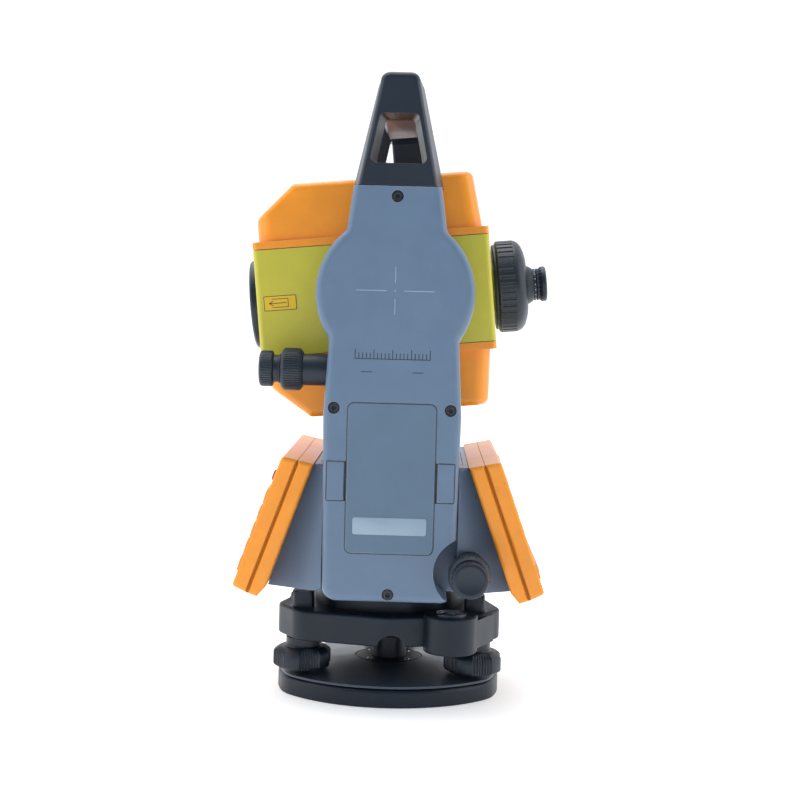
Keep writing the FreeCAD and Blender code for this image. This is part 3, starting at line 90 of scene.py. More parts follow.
def camera_axes():
    """Right, up and back directions of the camera, from its pitch, yaw and roll."""
    forward = Vector((
        -math.sin(CAMERA_YAW) * math.cos(CAMERA_PITCH),
        math.cos(CAMERA_YAW) * math.cos(CAMERA_PITCH),
        -math.sin(CAMERA_PITCH),
    ))
    level = Vector((math.cos(CAMERA_YAW), math.sin(CAMERA_YAW), 0.0))
    down = forward.cross(level)
    right = level * math.cos(CAMERA_ROLL) - down * math.sin(CAMERA_ROLL)
    down = level * math.sin(CAMERA_ROLL) + down * math.cos(CAMERA_ROLL)
    return right, -down, -forward


def make_camera():
    """The camera, in front of the near standard and about level with the telescope."""
    data = bpy.data.cameras.new("camera")
    data.lens = CAMERA_LENS
    data.sensor_width = CAMERA_SENSOR
    data.clip_start, data.clip_end = CAMERA_CLIP
    camera = bpy.data.objects.new("camera", data)
    bpy.context.scene.collection.objects.link(camera)
    right, up, back = camera_axes()
    turn = Matrix((right, up, back)).transposed().to_4x4()
    camera.matrix_world = Matrix.Translation(CAMERA_PLACE) @ turn
    bpy.context.scene.camera = camera


def make_area_light(name, place, size, power):
    """A soft rectangular light aimed at the middle of the instrument."""
    data = bpy.data.lights.new(name, "AREA")
    data.shape = "RECTANGLE"
    data.size, data.size_y = size
    data.energy = power
    light = bpy.data.objects.new(name, data)
    bpy.context.scene.collection.objects.link(light)
    aim = (Vector(STUDIO_MIDDLE) - Vector(place)).to_track_quat("-Z", "Y")
    light.matrix_world = Matrix.Translation(place) @ aim.to_matrix().to_4x4()


def surround_world():
    """White towards +Y and overhead, greyer towards -Y, so that the near face reads deeper."""
    world = bpy.data.worlds.new("studio_surround")
    world.use_nodes = True
    tree = world.node_tree
    place = add_node(tree, "ShaderNodeTexCoord")
    parts = add_node(tree, "ShaderNodeSeparateXYZ")
    connect(tree, place, "Generated", parts, "Vector")
    depth = add_range(tree, parts, "Y", 0.0, 1.0, *SURROUND_BLEND)
    tone = add_mix(tree, FRONT_SURROUND, BACK_SURROUND)
    connect(tree, depth, "Result", tone, 0)
    tree.links.new(mix_result(tone), tree.nodes["Background"].inputs["Color"])
    return world


def make_studio():
    """A large pale floor, a soft surround and soft lights overhead and at both sides."""
    mesh = bpy.data.meshes.new("studio_floor")
    shape = bmesh.new()
    bmesh.ops.create_circle(shape, cap_ends=True, radius=FLOOR_RADIUS, segments=96)
    shape.to_mesh(mesh)
    shape.free()
    floor = bpy.data.objects.new("studio_floor", mesh)
    floor.location.z = cad_box[0][2] - FLOOR_DROP
    bpy.context.scene.collection.objects.link(floor)
    floor.data.materials.append(floor_material())
    bpy.context.scene.world = surround_world()
    for name, place, size, power in LIGHTS:
        make_area_light(name, place, size, power)


# ------------------------------------------------------------------ materials

def new_material(name):
    material = bpy.data.materials.new(name)
    material.use_nodes = True
    return material, material.node_tree


def add_node(tree, kind, **settings):
    node = tree.nodes.new(kind)
    for key, value in settings.items():
        setattr(node, key, value)
    return node


def connect(tree, source, output, target, name):
    tree.links.new(source.outputs[output], target.inputs[name])


def from_srgb(red, green, blue):
    """Linear colour from the 0-255 values of a swatch."""
    def linear(value):
        value = value / 255.0
        if value <= 0.04045:
            return value / 12.92
        return ((value + 0.055) / 1.055) ** 2.4
    return linear(red), linear(green), linear(blue), 1.0


def add_noise(tree, scale, detail=4.0, roughness=0.55):
    place = add_node(tree, "ShaderNodeTexCoord")
    noise = add_node(tree, "ShaderNodeTexNoise")
    noise.inputs["Scale"].default_value = scale
    noise.inputs["Detail"].default_value = detail
    noise.inputs["Roughness"].default_value = roughness
    connect(tree, place, "Object", noise, "Vector")
    return noise


def add_range(tree, source, output, low, high, start=0.3, end=0.7):
    """Stretches a texture value from start..end to low..high."""
    remap = add_node(tree, "ShaderNodeMapRange")
    remap.inputs["From Min"].default_value = start
    remap.inputs["From Max"].default_value = end
    remap.inputs["To Min"].default_value = low
    remap.inputs["To Max"].default_value = high
    connect(tree, source, output, remap, "Value")
    return remap


def add_mix(tree, first, second):
    """A colour mix whose factor is left to be linked."""
    mix = add_node(tree, "ShaderNodeMix", data_type="RGBA")
    for name, value in (("A", first), ("B", second)):
        socket = [s for s in mix.inputs if s.name == name and s.type == "RGBA"][0]
        if isinstance(value, tuple):
            socket.default_value = value
        else:
            tree.links.new(value, socket)
    return mix


def mix_result(mix):
    return [s for s in mix.outputs if s.type == "RGBA"][0]


def scaled(colour, factor):
    return tuple(min(1.0, channel * factor) for channel in colour[:3]) + (1.0,)


def add_edge_mask(tree, radius, low, high):
    """1 on edges rounded by radius, 0 on flat stretches."""
    bevel = add_node(tree, "ShaderNodeBevel", samples=4)
    bevel.inputs["Radius"].default_value = radius
    geometry = add_node(tree, "ShaderNodeNewGeometry")
    dot = add_node(tree, "ShaderNodeVectorMath", operation="DOT_PRODUCT")
    connect(tree, bevel, "Normal", dot, 0)
    connect(tree, geometry, "Normal", dot, 1)
    return add_range(tree, dot, "Value", 1.0, 0.0, low, high)


def coated(name, colour, roughness, grain, grain_depth, *, mottle=0.05, edge=0.18, metallic=0.0,
           coat=0.0, edge_radius=0.0006, specular=0.5, patch=55.0):
    """A painted or moulded surface: fine grain in the relief, slow change of tone, and edges lightened as edge
    wear and as a painted highlight of light on rounded edges.
    """
    material, tree = new_material(name)
    shader = tree.nodes["Principled BSDF"]
    base = from_srgb(*colour)
    tone = add_noise(tree, patch, 5.0, 0.6)
    tone_range = add_range(tree, tone, "Fac", 0.0, 1.0, 0.32, 0.68)
    mottled = add_mix(tree, scaled(base, 1.0 - mottle), scaled(base, 1.0 + mottle))
    connect(tree, tone_range, "Result", mottled, 0)
    # Painted highlight: rounded edges are lightened towards white as if light caught them, broken up by noise that
    # also stands for edge wear.
    edge_highlight_mask = add_edge_mask(tree, edge_radius, 0.86, 0.995)
    wear_and_highlight_noise = add_noise(tree, 900.0, 3.0, 0.7)
    wear_and_highlight_breakup = add_range(tree, wear_and_highlight_noise, "Fac", 0.35, 1.0, 0.35, 0.6)
    wear_and_highlight = add_node(tree, "ShaderNodeMath", operation="MULTIPLY")
    connect(tree, edge_highlight_mask, "Result", wear_and_highlight, 0)
    connect(tree, wear_and_highlight_breakup, "Result", wear_and_highlight, 1)
    # Painted edge highlight colour: the base colour lifted towards white by the edge share.
    light = tuple(channel + edge * (1.0 - channel) for channel in base[:3]) + (1.0,)
    edged = add_mix(tree, mix_result(mottled), light)
    connect(tree, wear_and_highlight, "Value", edged, 0)
    tree.links.new(mix_result(edged), shader.inputs["Base Color"])
    gloss = add_range(tree, tone, "Fac", roughness - 0.05, roughness + 0.05)
    connect(tree, gloss, "Result", shader, "Roughness")
    relief = add_noise(tree, grain, 2.0, 0.5)
    bump = add_node(tree, "ShaderNodeBump")
    bump.inputs["Strength"].default_value = 0.6
    bump.inputs["Distance"].default_value = grain_depth
    connect(tree, relief, "Fac", bump, "Height")
    connect(tree, bump, "Normal", shader, "Normal")
    shader.inputs["Metallic"].default_value = metallic
    shader.inputs["Specular IOR Level"].default_value = specular
    shader.inputs["Coat Weight"].default_value = coat
    shader.inputs["Coat Roughness"].default_value = 0.25
    return material


def turned_metal(name, colour, roughness, marks):
    """Machined metal: fine rings left by the tool and a slow change of gloss."""
    material, tree = new_material(name)
    shader = tree.nodes["Principled BSDF"]
    base = from_srgb(*colour)
    place = add_node(tree, "ShaderNodeTexCoord")
    rings = add_node(tree, "ShaderNodeTexWave", wave_type="RINGS", rings_direction="Z")
    rings.inputs["Scale"].default_value = marks
    rings.inputs["Distortion"].default_value = 1.5
    rings.inputs["Detail"].default_value = 3.0
    connect(tree, place, "Object", rings, "Vector")
    tone = add_mix(tree, scaled(base, 0.86), scaled(base, 1.08))
    connect(tree, rings, "Fac", tone, 0)
    tree.links.new(mix_result(tone), shader.inputs["Base Color"])
    patches = add_noise(tree, 80.0)
    gloss = add_range(tree, patches, "Fac", roughness - 0.06, roughness + 0.08)
    connect(tree, gloss, "Result", shader, "Roughness")
    bump = add_node(tree, "ShaderNodeBump")
    bump.inputs["Strength"].default_value = 0.25
    bump.inputs["Distance"].default_value = 0.00004
    connect(tree, rings, "Fac", bump, "Height")
    connect(tree, bump, "Normal", shader, "Normal")
    shader.inputs["Metallic"].default_value = 1.0
    return material


def glass_material(name, tint, coat):
    """Coated optical glass."""
    material, tree = new_material(name)
    shader = tree.nodes["Principled BSDF"]
    haze = add_noise(tree, 120.0)
    tone = add_mix(tree, tint, scaled(tint, 0.9))
    connect(tree, haze, "Fac", tone, 0)
    tree.links.new(mix_result(tone), shader.inputs["Base Color"])
    gloss = add_range(tree, haze, "Fac", 0.01, 0.06)
    connect(tree, gloss, "Result", shader, "Roughness")
    shader.inputs["Transmission Weight"].default_value = 0.85
    shader.inputs["IOR"].default_value = 1.52
    shader.inputs["Coat Weight"].default_value = 1.0
    shader.inputs["Coat Roughness"].default_value = 0.02
    shader.inputs["Coat Tint"].default_value = coat
    return material


def floor_material():
    """Pale studio floor with a faint mottling."""
    material, tree = new_material("studio_floor")
    shader = tree.nodes["Principled BSDF"]
    mottle = add_noise(tree, 3.0)
    tone = add_mix(tree, (0.985, 0.985, 0.985, 1.0), (1.0, 1.0, 1.0, 1.0))
    connect(tree, mottle, "Fac", tone, 0)
    tree.links.new(mix_result(tone), shader.inputs["Base Color"])
    shader.inputs["Roughness"].default_value = 0.9
    shader.inputs["Specular IOR Level"].default_value = 0.0
    shader.inputs["Emission Color"].default_value = (1.0, 1.0, 1.0, 1.0)
    shader.inputs["Emission Strength"].default_value = 0.3
    return material


def make_materials():
    """One material for each slot of the record, and inks and papers for the printed marks."""
    # Each edge= value sets how far a material's edges are lightened: partly edge wear, partly painted highlight.
    return {
        "black_paint": coated("black_paint", (18, 29, 42), 0.40, 1500.0, 0.00006, edge=0.05, specular=0.32),
        "spring_steel": coated("spring_steel", (60, 70, 84), 0.36, 900.0, 0.00003, metallic=0.3, edge=0.1),
        "black_plastic": coated("black_plastic", (22, 33, 46), 0.38, 2600.0, 0.00009, edge=0.06,
                                specular=0.42),
        "black_anodised": coated("black_anodised", (24, 34, 46), 0.36, 3000.0, 0.00004, edge=0.08,
                                 specular=0.4),
        "brass": turned_metal("brass", (190, 158, 96), 0.3, 1400.0),
        "steel": turned_metal("steel", (170, 172, 176), 0.26, 1800.0),
        "dark_steel": coated("dark_steel", (26, 31, 40), 0.35, 1800.0, 0.00004, metallic=0.4, edge=0.15),
        "bare_aluminium": turned_metal("bare_aluminium", (150, 156, 164), 0.34, 1200.0),
        "grey_casing": coated("grey_casing", (91, 113, 138), 0.36, 1400.0, 0.00006, edge=0.16, coat=0.15),
        "battery_plastic": coated("battery_plastic", (86, 109, 131), 0.42, 2400.0, 0.00007, edge=0.3),
        "battery_shell": coated("battery_shell", (46, 48, 52), 0.55, 2400.0, 0.00008),
        "orange_plastic": coated("orange_plastic", (244, 148, 22), 0.32, 2200.0, 0.00006, edge=0.2,
                                 coat=0.15),
        "yellow_casing": coated("yellow_casing", (196, 186, 56), 0.40, 1400.0, 0.00006, edge=0.12,
                                coat=0.1),
        "optical_glass": glass_material("optical_glass", (0.86, 0.93, 0.95, 1.0), (0.75, 0.85, 1.0, 1.0)),
        "display_pane": coated("display_pane", (34, 38, 42), 0.12, 200.0, 0.00001, edge=0.05, coat=1.0),
        "key_rubber": coated("key_rubber", (198, 202, 204), 0.6, 3000.0, 0.00006, edge=0.1),
        "red_key": coated("red_key", (190, 40, 34), 0.4, 2400.0, 0.00005, edge=0.15),
        "port_rubber": coated("port_rubber", (38, 40, 44), 0.7, 2000.0, 0.00012, edge=0.08),
        "seal_rubber": coated("seal_rubber", (178, 102, 36), 0.6, 2400.0, 0.00004, edge=0.0),
        "circuit": coated("circuit", (28, 96, 56), 0.35, 600.0, 0.00004, coat=0.6),
        "dark_ink": coated("dark_ink", (46, 54, 62), 0.6, 4000.0, 0.00001, edge=0.0),
        "light_ink": coated("light_ink", (146, 162, 180), 0.6, 4000.0, 0.00001, edge=0.0),
        "label_paper": coated("label_paper", (140, 160, 178), 0.5, 2600.0, 0.00002, edge=0.05, coat=0.2),
        "label_yellow": coated("label_yellow", (226, 182, 14), 0.45, 2600.0, 0.00002, edge=0.0, coat=0.3),
        "screen": coated("screen", (142, 154, 138), 0.3, 1200.0, 0.00001, edge=0.0, coat=0.6),
        "grip_rubber": coated("grip_rubber", (86, 78, 84), 0.5, 2200.0, 0.0001, edge=0.1),
    }


# instrument_base takes black paint as painted shade for the shadow under the alidade; the foot screw bushes take
# dark steel in place of brass.
SHADED_AS = {"instrument_base": "black_paint", "foot_screw_bushes": "dark_steel"}


def dress_nodes():
    """Gives each CAD node the material of its slot, or the one SHADED_AS swaps in; instrument_base's black paint
    is painted shade.
    """
    for name, node in NODES.items():
        node.data.materials.clear()
        node.data.materials.append(MATERIALS[SHADED_AS.get(name, SLOT_OF[name])])


# ------------------------------------------------------------------ reading the frame

def joint_line(name):
    """A point on a joint's axis and the axis itself."""
    joint = next(j for j in frame["joints"] if j["name"] == name)
    return Vector(joint.get("pos_m") or (0.0, 0.0, 0.0)), Vector(joint["axis"]).normalized()


def points_of(node):
    return [vertex.co for vertex in NODES[node].data.vertices]


def reach_along(node, origin, axis):
    """Lowest and highest place of a node along an axis, from the origin."""
    places = [(point - origin).dot(axis) for point in points_of(node)]
    return min(places), max(places)


def radius_about(node, origin, axis):
    return max((point - origin - axis * (point - origin).dot(axis)).length for point in points_of(node))


def separate_solids(node):
    """The box of each separate solid in a node, lowest corner first."""
    shape = bmesh.new()
    shape.from_mesh(NODES[node].data)
    bmesh.ops.remove_doubles(shape, verts=shape.verts, dist=0.00001)
    left = set(shape.verts)
    boxes = []
    while left:
        found, edge = set(), [left.pop()]
        while edge:
            vertex = edge.pop()
            found.add(vertex)
            near = {link.other_vert(vertex) for link in vertex.link_edges} & left
            left -= near
            edge.extend(near)
        spots = [vertex.co for vertex in found]
        low = Vector([min(spot[axis] for spot in spots) for axis in range(3)])
        high = Vector([max(spot[axis] for spot in spots) for axis in range(3)])
        boxes.append((low, high))
    shape.free()
    return sorted(boxes, key=lambda box: tuple(round(value, 5) for value in box[0]))


# ------------------------------------------------------------------ mesh making

TEXT_THICKNESS = 0.08


def axis_frame(origin, axis):
    """Places a shape made about +Z on an axis."""
    return Matrix.Translation(origin) @ axis.to_track_quat("Z", "Y").to_matrix().to_4x4()


def face_frame(origin, right, up):
    """Places a flat shape, made in X and Y and standing out along +Z, on a face."""
    turn = Matrix((right, up, right.cross(up))).transposed().to_4x4()
    return Matrix.Translation(origin) @ turn


def add_piece(name, shape, place, body, material, *, replaces=(), sharp=32.0):
    """Makes the final object: sized in millimetres before the call, put in place, shaded and riding."""
    bmesh.ops.recalc_face_normals(shape, faces=shape.faces)
    mesh = bpy.data.meshes.new(name)
    shape.transform(Matrix.Scale(MM, 4))
    shape.transform(place)
    shape.to_mesh(mesh)
    shape.free()
    for polygon in mesh.polygons:
        polygon.use_smooth = True
    mesh.set_sharp_from_angle(angle=math.radians(sharp))
    mesh.materials.append(MATERIALS[material])
    piece = bpy.data.objects.new(name, mesh)
    bpy.context.scene.collection.objects.link(piece)
    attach(piece, body)
    if replaces:
        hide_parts(*replaces)
    return piece


def lathe(profile, repeats=96, pattern=(0.0,), shape=None):
    """A turned solid about +Z. A station is (height, radius, groove depth); the pattern goes round."""
    shape = shape or bmesh.new()
    count = repeats * len(pattern)
    rings = []
    for height, radius, depth in profile:
        if radius == 0:
            rings.append([shape.verts.new((0.0, 0.0, height))])
            continue
        ring = []
        for step in range(count):
            angle = 2.0 * math.pi * step / count
            out = radius - depth * pattern[step % len(pattern)]
            ring.append(shape.verts.new((out * math.cos(angle), out * math.sin(angle), height)))
        rings.append(ring)
    pairs = list(zip(rings, rings[1:]))
    if profile[0][1] > 0:
        pairs.append((rings[-1], rings[0]))
    for low, high in pairs:
        for step in range(count):
            after = (step + 1) % count
            corners = [low[step % len(low)], low[after % len(low)],
                       high[after % len(high)], high[step % len(high)]]
            unique = [v for n, v in enumerate(corners) if v not in corners[:n]]
            if len(unique) > 2:
                shape.faces.new(unique)
    return shape


def rounded_outline(width, height, radius, steps=5, middle=(0.0, 0.0)):
    """Points round a rectangle with round corners."""
    points = []
    for turn, (side, top) in enumerate(((1, 1), (-1, 1), (-1, -1), (1, -1))):
        centre_x = middle[0] + side * (width / 2 - radius)
        centre_y = middle[1] + top * (height / 2 - radius)
        for step in range(steps + 1):
            angle = math.pi / 2 * (turn + step / steps)
            points.append((centre_x + radius * math.cos(angle), centre_y + radius * math.sin(angle)))
    return points


def prism(outline, low, high, bevel=0.0, shape=None, taper=1.0, steps=2):
    """An outline raised from low to high, with its top edge bevelled and its top drawn in by the taper."""
    shape = shape or bmesh.new()
    bottom = [shape.verts.new((x, y, low)) for x, y in outline]
    top = [shape.verts.new((x * taper, y * taper, high)) for x, y in outline]
    count = len(outline)
    shape.faces.new(list(reversed(bottom)))
    lid = shape.faces.new(top)
    for step in range(count):
        after = (step + 1) % count
        shape.faces.new((bottom[step], bottom[after], top[after], top[step]))
    if bevel:
        bmesh.ops.bevel(shape, geom=list(lid.edges), offset=bevel, segments=steps, profile=0.5,
                        affect="EDGES", clamp_overlap=True)
    return shape


def frame_prism(outer, inner, low, high, shape=None):
    """A flat ring between two outlines with the same number of points."""
    shape = shape or bmesh.new()
    loops = [[shape.verts.new((x, y, level)) for x, y in outline]
             for outline, level in ((outer, low), (outer, high), (inner, high), (inner, low))]
    count = len(outer)
    for first, second in zip(loops, loops[1:] + loops[:1]):
        for step in range(count):
            after = (step + 1) % count
            shape.faces.new((first[step], first[after], second[after], second[step]))
    return shape


def bar(shape, start, end, width, low, high):
    """A thin straight bar between two points of a face."""
    run = Vector(end) - Vector(start)
    side = Vector((-run.y, run.x)).normalized() * width / 2
    outline = [Vector(start) - side, Vector(end) - side, Vector(end) + side, Vector(start) + side]
    return prism([(point.x, point.y) for point in outline], low, high, shape=shape)


def join_into(shape, part):
    """Adds a finished part to a shape that holds several, and frees the part."""
    mesh = bpy.data.meshes.new("part")
    part.to_mesh(mesh)
    part.free()
    shape.from_mesh(mesh)
    bpy.data.meshes.remove(mesh)


def add_text(shape, text, size, middle, level):
    """Characters in Blender's own plain face, laid flat and centred on a point."""
    curve = bpy.data.curves.new("characters", "FONT")
    curve.body = text
    curve.size = size
    curve.align_x = "CENTER"
    curve.align_y = "CENTER"
    curve.extrude = TEXT_THICKNESS / 2
    curve.resolution_u = 3
    holder = bpy.data.objects.new("characters", curve)
    mesh = bpy.data.meshes.new_from_object(holder)
    mesh.transform(Matrix.Translation((middle[0], middle[1], level)))
    shape.from_mesh(mesh)
    bpy.data.objects.remove(holder)
    bpy.data.curves.remove(curve)
    bpy.data.meshes.remove(mesh)


# ------------------------------------------------------------------ levelling base

FINE_RIB = (0.0, 0.0, 0.0, 1.0, 1.0, 1.0)
FOOT_KNOB_RISE = 10.4
FOOT_KNOB_HEIGHT = 12.7
FOOT_KNOB_LOBES = 5
FOOT_KNOB_DEPTH = 2.6
FOOT_BALL_RADIUS = 4.8
FOOT_NECK_RADIUS = 4.0
FOOT_COLLAR_HEIGHT = 5.8
FOOT_COLLAR_RADIUS = 9.9
THREAD_RADIUS = 4.9
THREAD_ROOT = 4.55
THREAD_PITCH = 1.0
CAP_WIDTH = 12.4
CAP_CORNER = 2.6
CAP_BEVEL = 1.1
CAP_TAPER = 0.94
HUB_SCREWS = 4
HUB_SCREW_CIRCLE = 15.2
HUB_SCREW_RADIUS = 1.9
HUB_SOCKET_RADIUS = 1.0
LOCK_KNOB_LENGTH = 9.0
LOCK_KNOB_RIBS = 20
LOCK_PIN_RADIUS = 2.0
LOCK_FACE_SINK = 0.6
LOCK_DOT_RADIUS = 0.9
LOCK_DOT_OUT = 4.2


def lobed(valley=0.55, grooves=12, steps=48):
    """Shares of depth over one lobe of a knob and its valley, with a few fine grooves in the valley."""
    pattern = []
    for step in range(steps):
        phase = abs(step / steps - 0.5) * 2.0
        share = max(0.0, (valley - phase) / valley) ** 0.5 if phase < valley else 0.0
        fine = 0.22 if phase < valley and step % (steps // grooves) < 2 else 0.0
        pattern.append(share * 0.78 + fine)
    return pattern


def make_foot_screws():
    """Lobed levelling knobs with grooved valleys, turned with their collar and threaded spindle."""
    for side in ("left", "right", "rear"):
        node = f"foot_screw_{side}"
        origin, axis = joint_line(f"foot_{side}_turn")
        low, high = (value / MM for value in reach_along(node, origin, axis))
        radius = radius_about(node, origin, axis) / MM
        knob_low = low + FOOT_KNOB_RISE
        knob_high = knob_low + FOOT_KNOB_HEIGHT
        collar_high = knob_high + FOOT_COLLAR_HEIGHT
        deep = FOOT_KNOB_DEPTH
        profile = [
            (low, 0, 0), (low, 3.4, 0), (low + 1.4, FOOT_BALL_RADIUS, 0), (low + 4.4, FOOT_BALL_RADIUS, 0),
            (low + 5.3, FOOT_NECK_RADIUS, 0), (knob_low, FOOT_NECK_RADIUS, 0),
            (knob_low, radius - 3.0, deep * 0.4), (knob_low + 1.6, radius - 0.5, deep),
            (knob_low + 2.6, radius, deep), (knob_high - 3.4, radius, deep),
            (knob_high - 2.2, radius - 0.6, deep), (knob_high - 0.3, radius - 3.4, deep * 0.3),
            (knob_high, radius - 4.2, 0), (knob_high, FOOT_COLLAR_RADIUS + 0.5, 0),
            (knob_high + 0.5, FOOT_COLLAR_RADIUS, 0), (collar_high - 0.5, FOOT_COLLAR_RADIUS, 0),
            (collar_high, FOOT_COLLAR_RADIUS - 0.5, 0), (collar_high, THREAD_RADIUS, 0),
        ]
        thread = collar_high
        while thread < high - 1.2 * THREAD_PITCH:
            profile += [(thread + 0.25 * THREAD_PITCH, THREAD_RADIUS, 0),
                        (thread + 0.5 * THREAD_PITCH, THREAD_ROOT, 0),
                        (thread + 0.75 * THREAD_PITCH, THREAD_RADIUS, 0)]
            thread += THREAD_PITCH
        profile += [(high, THREAD_RADIUS - 0.5, 0), (high, 0, 0)]
        shape = lathe(profile, FOOT_KNOB_LOBES, lobed())
        add_piece(f"levelling_knob_{side}", shape, axis_frame(origin, axis), f"foot_{side}",
                  "black_plastic", replaces=(node,))


def make_foot_caps():
    """Square caps with round corners over the ends of the levelling screws."""
    shape = bmesh.new()
    for low, high in separate_solids("foot_screw_caps"):
        middle = (low + high) / 2 / MM
        outline = rounded_outline(CAP_WIDTH, CAP_WIDTH, CAP_CORNER)
        cap = prism(outline, 0.0, (high.z - low.z) / MM, CAP_BEVEL, taper=CAP_TAPER)
        cap.transform(Matrix.Translation((middle.x, middle.y, low.z / MM)))
        join_into(shape, cap)
    add_piece("spindle_caps", shape, Matrix.Identity(4), "head", "black_plastic",
              replaces=("foot_screw_caps",))


def make_hub_screws():
    """Screws that hold the base plate's hub, each with a round socket in its head."""
    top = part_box("spring_plate")[1].z / MM
    shape = bmesh.new()
    for turn in range(HUB_SCREWS):
        angle = 2.0 * math.pi * (turn + 0.5) / HUB_SCREWS
        head = lathe([(0, 0, 0), (0, HUB_SOCKET_RADIUS, 0), (0.55, HUB_SOCKET_RADIUS, 0),
                      (0.55, HUB_SCREW_RADIUS - 0.2, 0), (0.2, HUB_SCREW_RADIUS, 0),
                      (-1.2, HUB_SCREW_RADIUS, 0), (-1.2, 0, 0)], 24)
        head.transform(Matrix.Translation((HUB_SCREW_CIRCLE * math.cos(angle),
                                           HUB_SCREW_CIRCLE * math.sin(angle), top)))
        join_into(shape, head)
    add_piece("hub_screws", shape, Matrix.Identity(4), "base", "steel")


def make_lock_knob():
    """Finger-ribbed locking knob with a pale index dot, on its pin."""
    origin, axis = joint_line("lock_knob_turn")
    low, high = (value / MM for value in reach_along("lock_knob", origin, axis))
    radius = radius_about("lock_knob", origin, axis) / MM
    face = high - LOCK_KNOB_LENGTH
    sunk = high - LOCK_FACE_SINK
    profile = [(low, 0, 0), (low, LOCK_PIN_RADIUS, 0), (face, LOCK_PIN_RADIUS, 0),
               (face, radius - 1.6, 0.2), (face + 1.2, radius, 0.9), (high - 1.6, radius, 0.9),
               (high - 0.4, radius - 0.9, 0.4), (high, radius - 2.2, 0), (sunk, radius - 3.2, 0),
               (sunk, 0, 0)]
    add_piece("locking_knob", lathe(profile, LOCK_KNOB_RIBS, FINE_RIB), axis_frame(origin, axis),
              "lock_knob", "black_plastic", replaces=("lock_knob",))
    dot = lathe([(0.0, 0, 0), (0.0, LOCK_DOT_RADIUS, 0), (0.12, LOCK_DOT_RADIUS - 0.1, 0), (0.12, 0, 0)], 24)
    place = axis_frame(origin + axis * sunk * MM, axis) @ Matrix.Translation((0, LOCK_DOT_OUT * MM, 0))
    add_piece("locking_knob_index", dot, place, "lock_knob", "label_paper")


# ------------------------------------------------------------------ drives

DRIVE_JOURNAL = 6.5
DRIVE_CLEARANCE = 0.05
DRIVE_RING_RIBS = 54
DRIVE_SHAFT = 4.0
DRIVE_NECK = 8.2
DRIVE_NECK_LENGTH = 3.8
DRIVE_CAP_LENGTH = 7.9
DRIVE_CAP_RIBS = 44


def make_drive(name):
    """Knurled clamp ring and tangent knob of one drive, each on its own body."""
    origin, axis = joint_line(f"{name}_clamp_turn")
    low, high = (value / MM for value in reach_along(f"{name}_clamp_ring", origin, axis))
    radius = radius_about(f"{name}_clamp_ring", origin, axis) / MM
    bore = DRIVE_JOURNAL + DRIVE_CLEARANCE
    ring = [(low, bore, 0), (low, radius - 1.9, 0), (low + 1.5, radius - 0.2, 0.45),
            (low + 2.0, radius, 0.5), (high - 2.0, radius, 0.5), (high - 1.5, radius - 0.2, 0.45),
            (high, radius - 1.9, 0), (high, bore, 0)]
    place = axis_frame(origin, axis)
    add_piece(f"{name}_clamp_grip", lathe(ring, DRIVE_RING_RIBS, FINE_RIB), place, f"{name}_clamp",
              "black_plastic", replaces=(f"{name}_clamp_ring",))
    low, high = (value / MM for value in reach_along(f"{name}_tangent_knob", origin, axis))
    radius = radius_about(f"{name}_tangent_knob", origin, axis) / MM
    cap = high - DRIVE_CAP_LENGTH
    neck = cap - DRIVE_NECK_LENGTH
    knob = [(low, 0, 0), (low, DRIVE_SHAFT, 0), (neck, DRIVE_SHAFT, 0), (neck, DRIVE_NECK, 0),
            (neck + 0.8, DRIVE_NECK, 0), (neck + 1.2, DRIVE_NECK - 0.5, 0), (cap - 0.3, DRIVE_NECK - 0.5, 0),
            (cap, DRIVE_NECK, 0), (cap + 0.2, radius - 0.9, 0), (cap + 0.9, radius, 0.4),
            (high - 1.6, radius, 0.4), (high - 0.7, radius - 0.5, 0.1), (high - 0.1, radius - 1.6, 0),
            (high, radius - 2.4, 0), (high - 0.25, radius - 3.0, 0), (high - 0.5, 0, 0)]
    add_piece(f"{name}_tangent_grip", lathe(knob, DRIVE_CAP_RIBS, FINE_RIB), place, f"{name}_tangent",
              "black_plastic", replaces=(f"{name}_tangent_knob",))


# ------------------------------------------------------------------ telescope

FOCUS_BORE = 15.95
FOCUS_EYE_BORE = 7.9
FOCUS_END_WALL = 6.4
FOCUS_RIBS = 40
FOCUS_RIB_DEPTH = 0.55
FOCUS_RIB_PATTERN = (0.0, 0.0, 0.0, 0.0, 1.0, 1.0)
FOCUS_SHOULDER = (  # height over the ring's foot, and how far inside its outer radius
    (12.0, 0.0), (13.4, 0.3), (15.4, 1.4), (17.2, 3.6),
    (18.6, 7.2), (19.2, 9.8), (19.5, 13.2), (19.9, 15.6),
)
FOCUS_NOSE = ((22.4, 10.2), (23.4, 9.4))  # height over the ring's foot, and radius
EYECUP_SHORTER = 1.6
EYECUP_LENGTH = 9.8
EYECUP_RIBS = 24
EYE_JOURNAL = 7.0
EYE_HOLE = 5.4
DIOPTRE_DOTS = 18
DOT_RING = 9.2
DOT_RISE = 2.9
DOT_RADIUS = 0.5
LABEL_AT = (-66.7, -0.3)
LABEL_SIZE = (18.7, 8.5)
LABEL_CORNER = 0.5
LABEL_THICK = 0.12
LABEL_INK_TOP = 0.16
ARROW_BOX = (4.6, 2.4)


def telescope_frame(origin, along, up):
    """Frame on the telescope's near face: right runs to the eyepiece and up across the line of sight."""
    pivot, sight = joint_line("focus_turn")
    across = Vector((-sight.z, 0.0, sight.x))
    spot = pivot + sight * along * MM + across * up * MM
    return face_frame(Vector((spot.x, origin, spot.z)), sight, across)


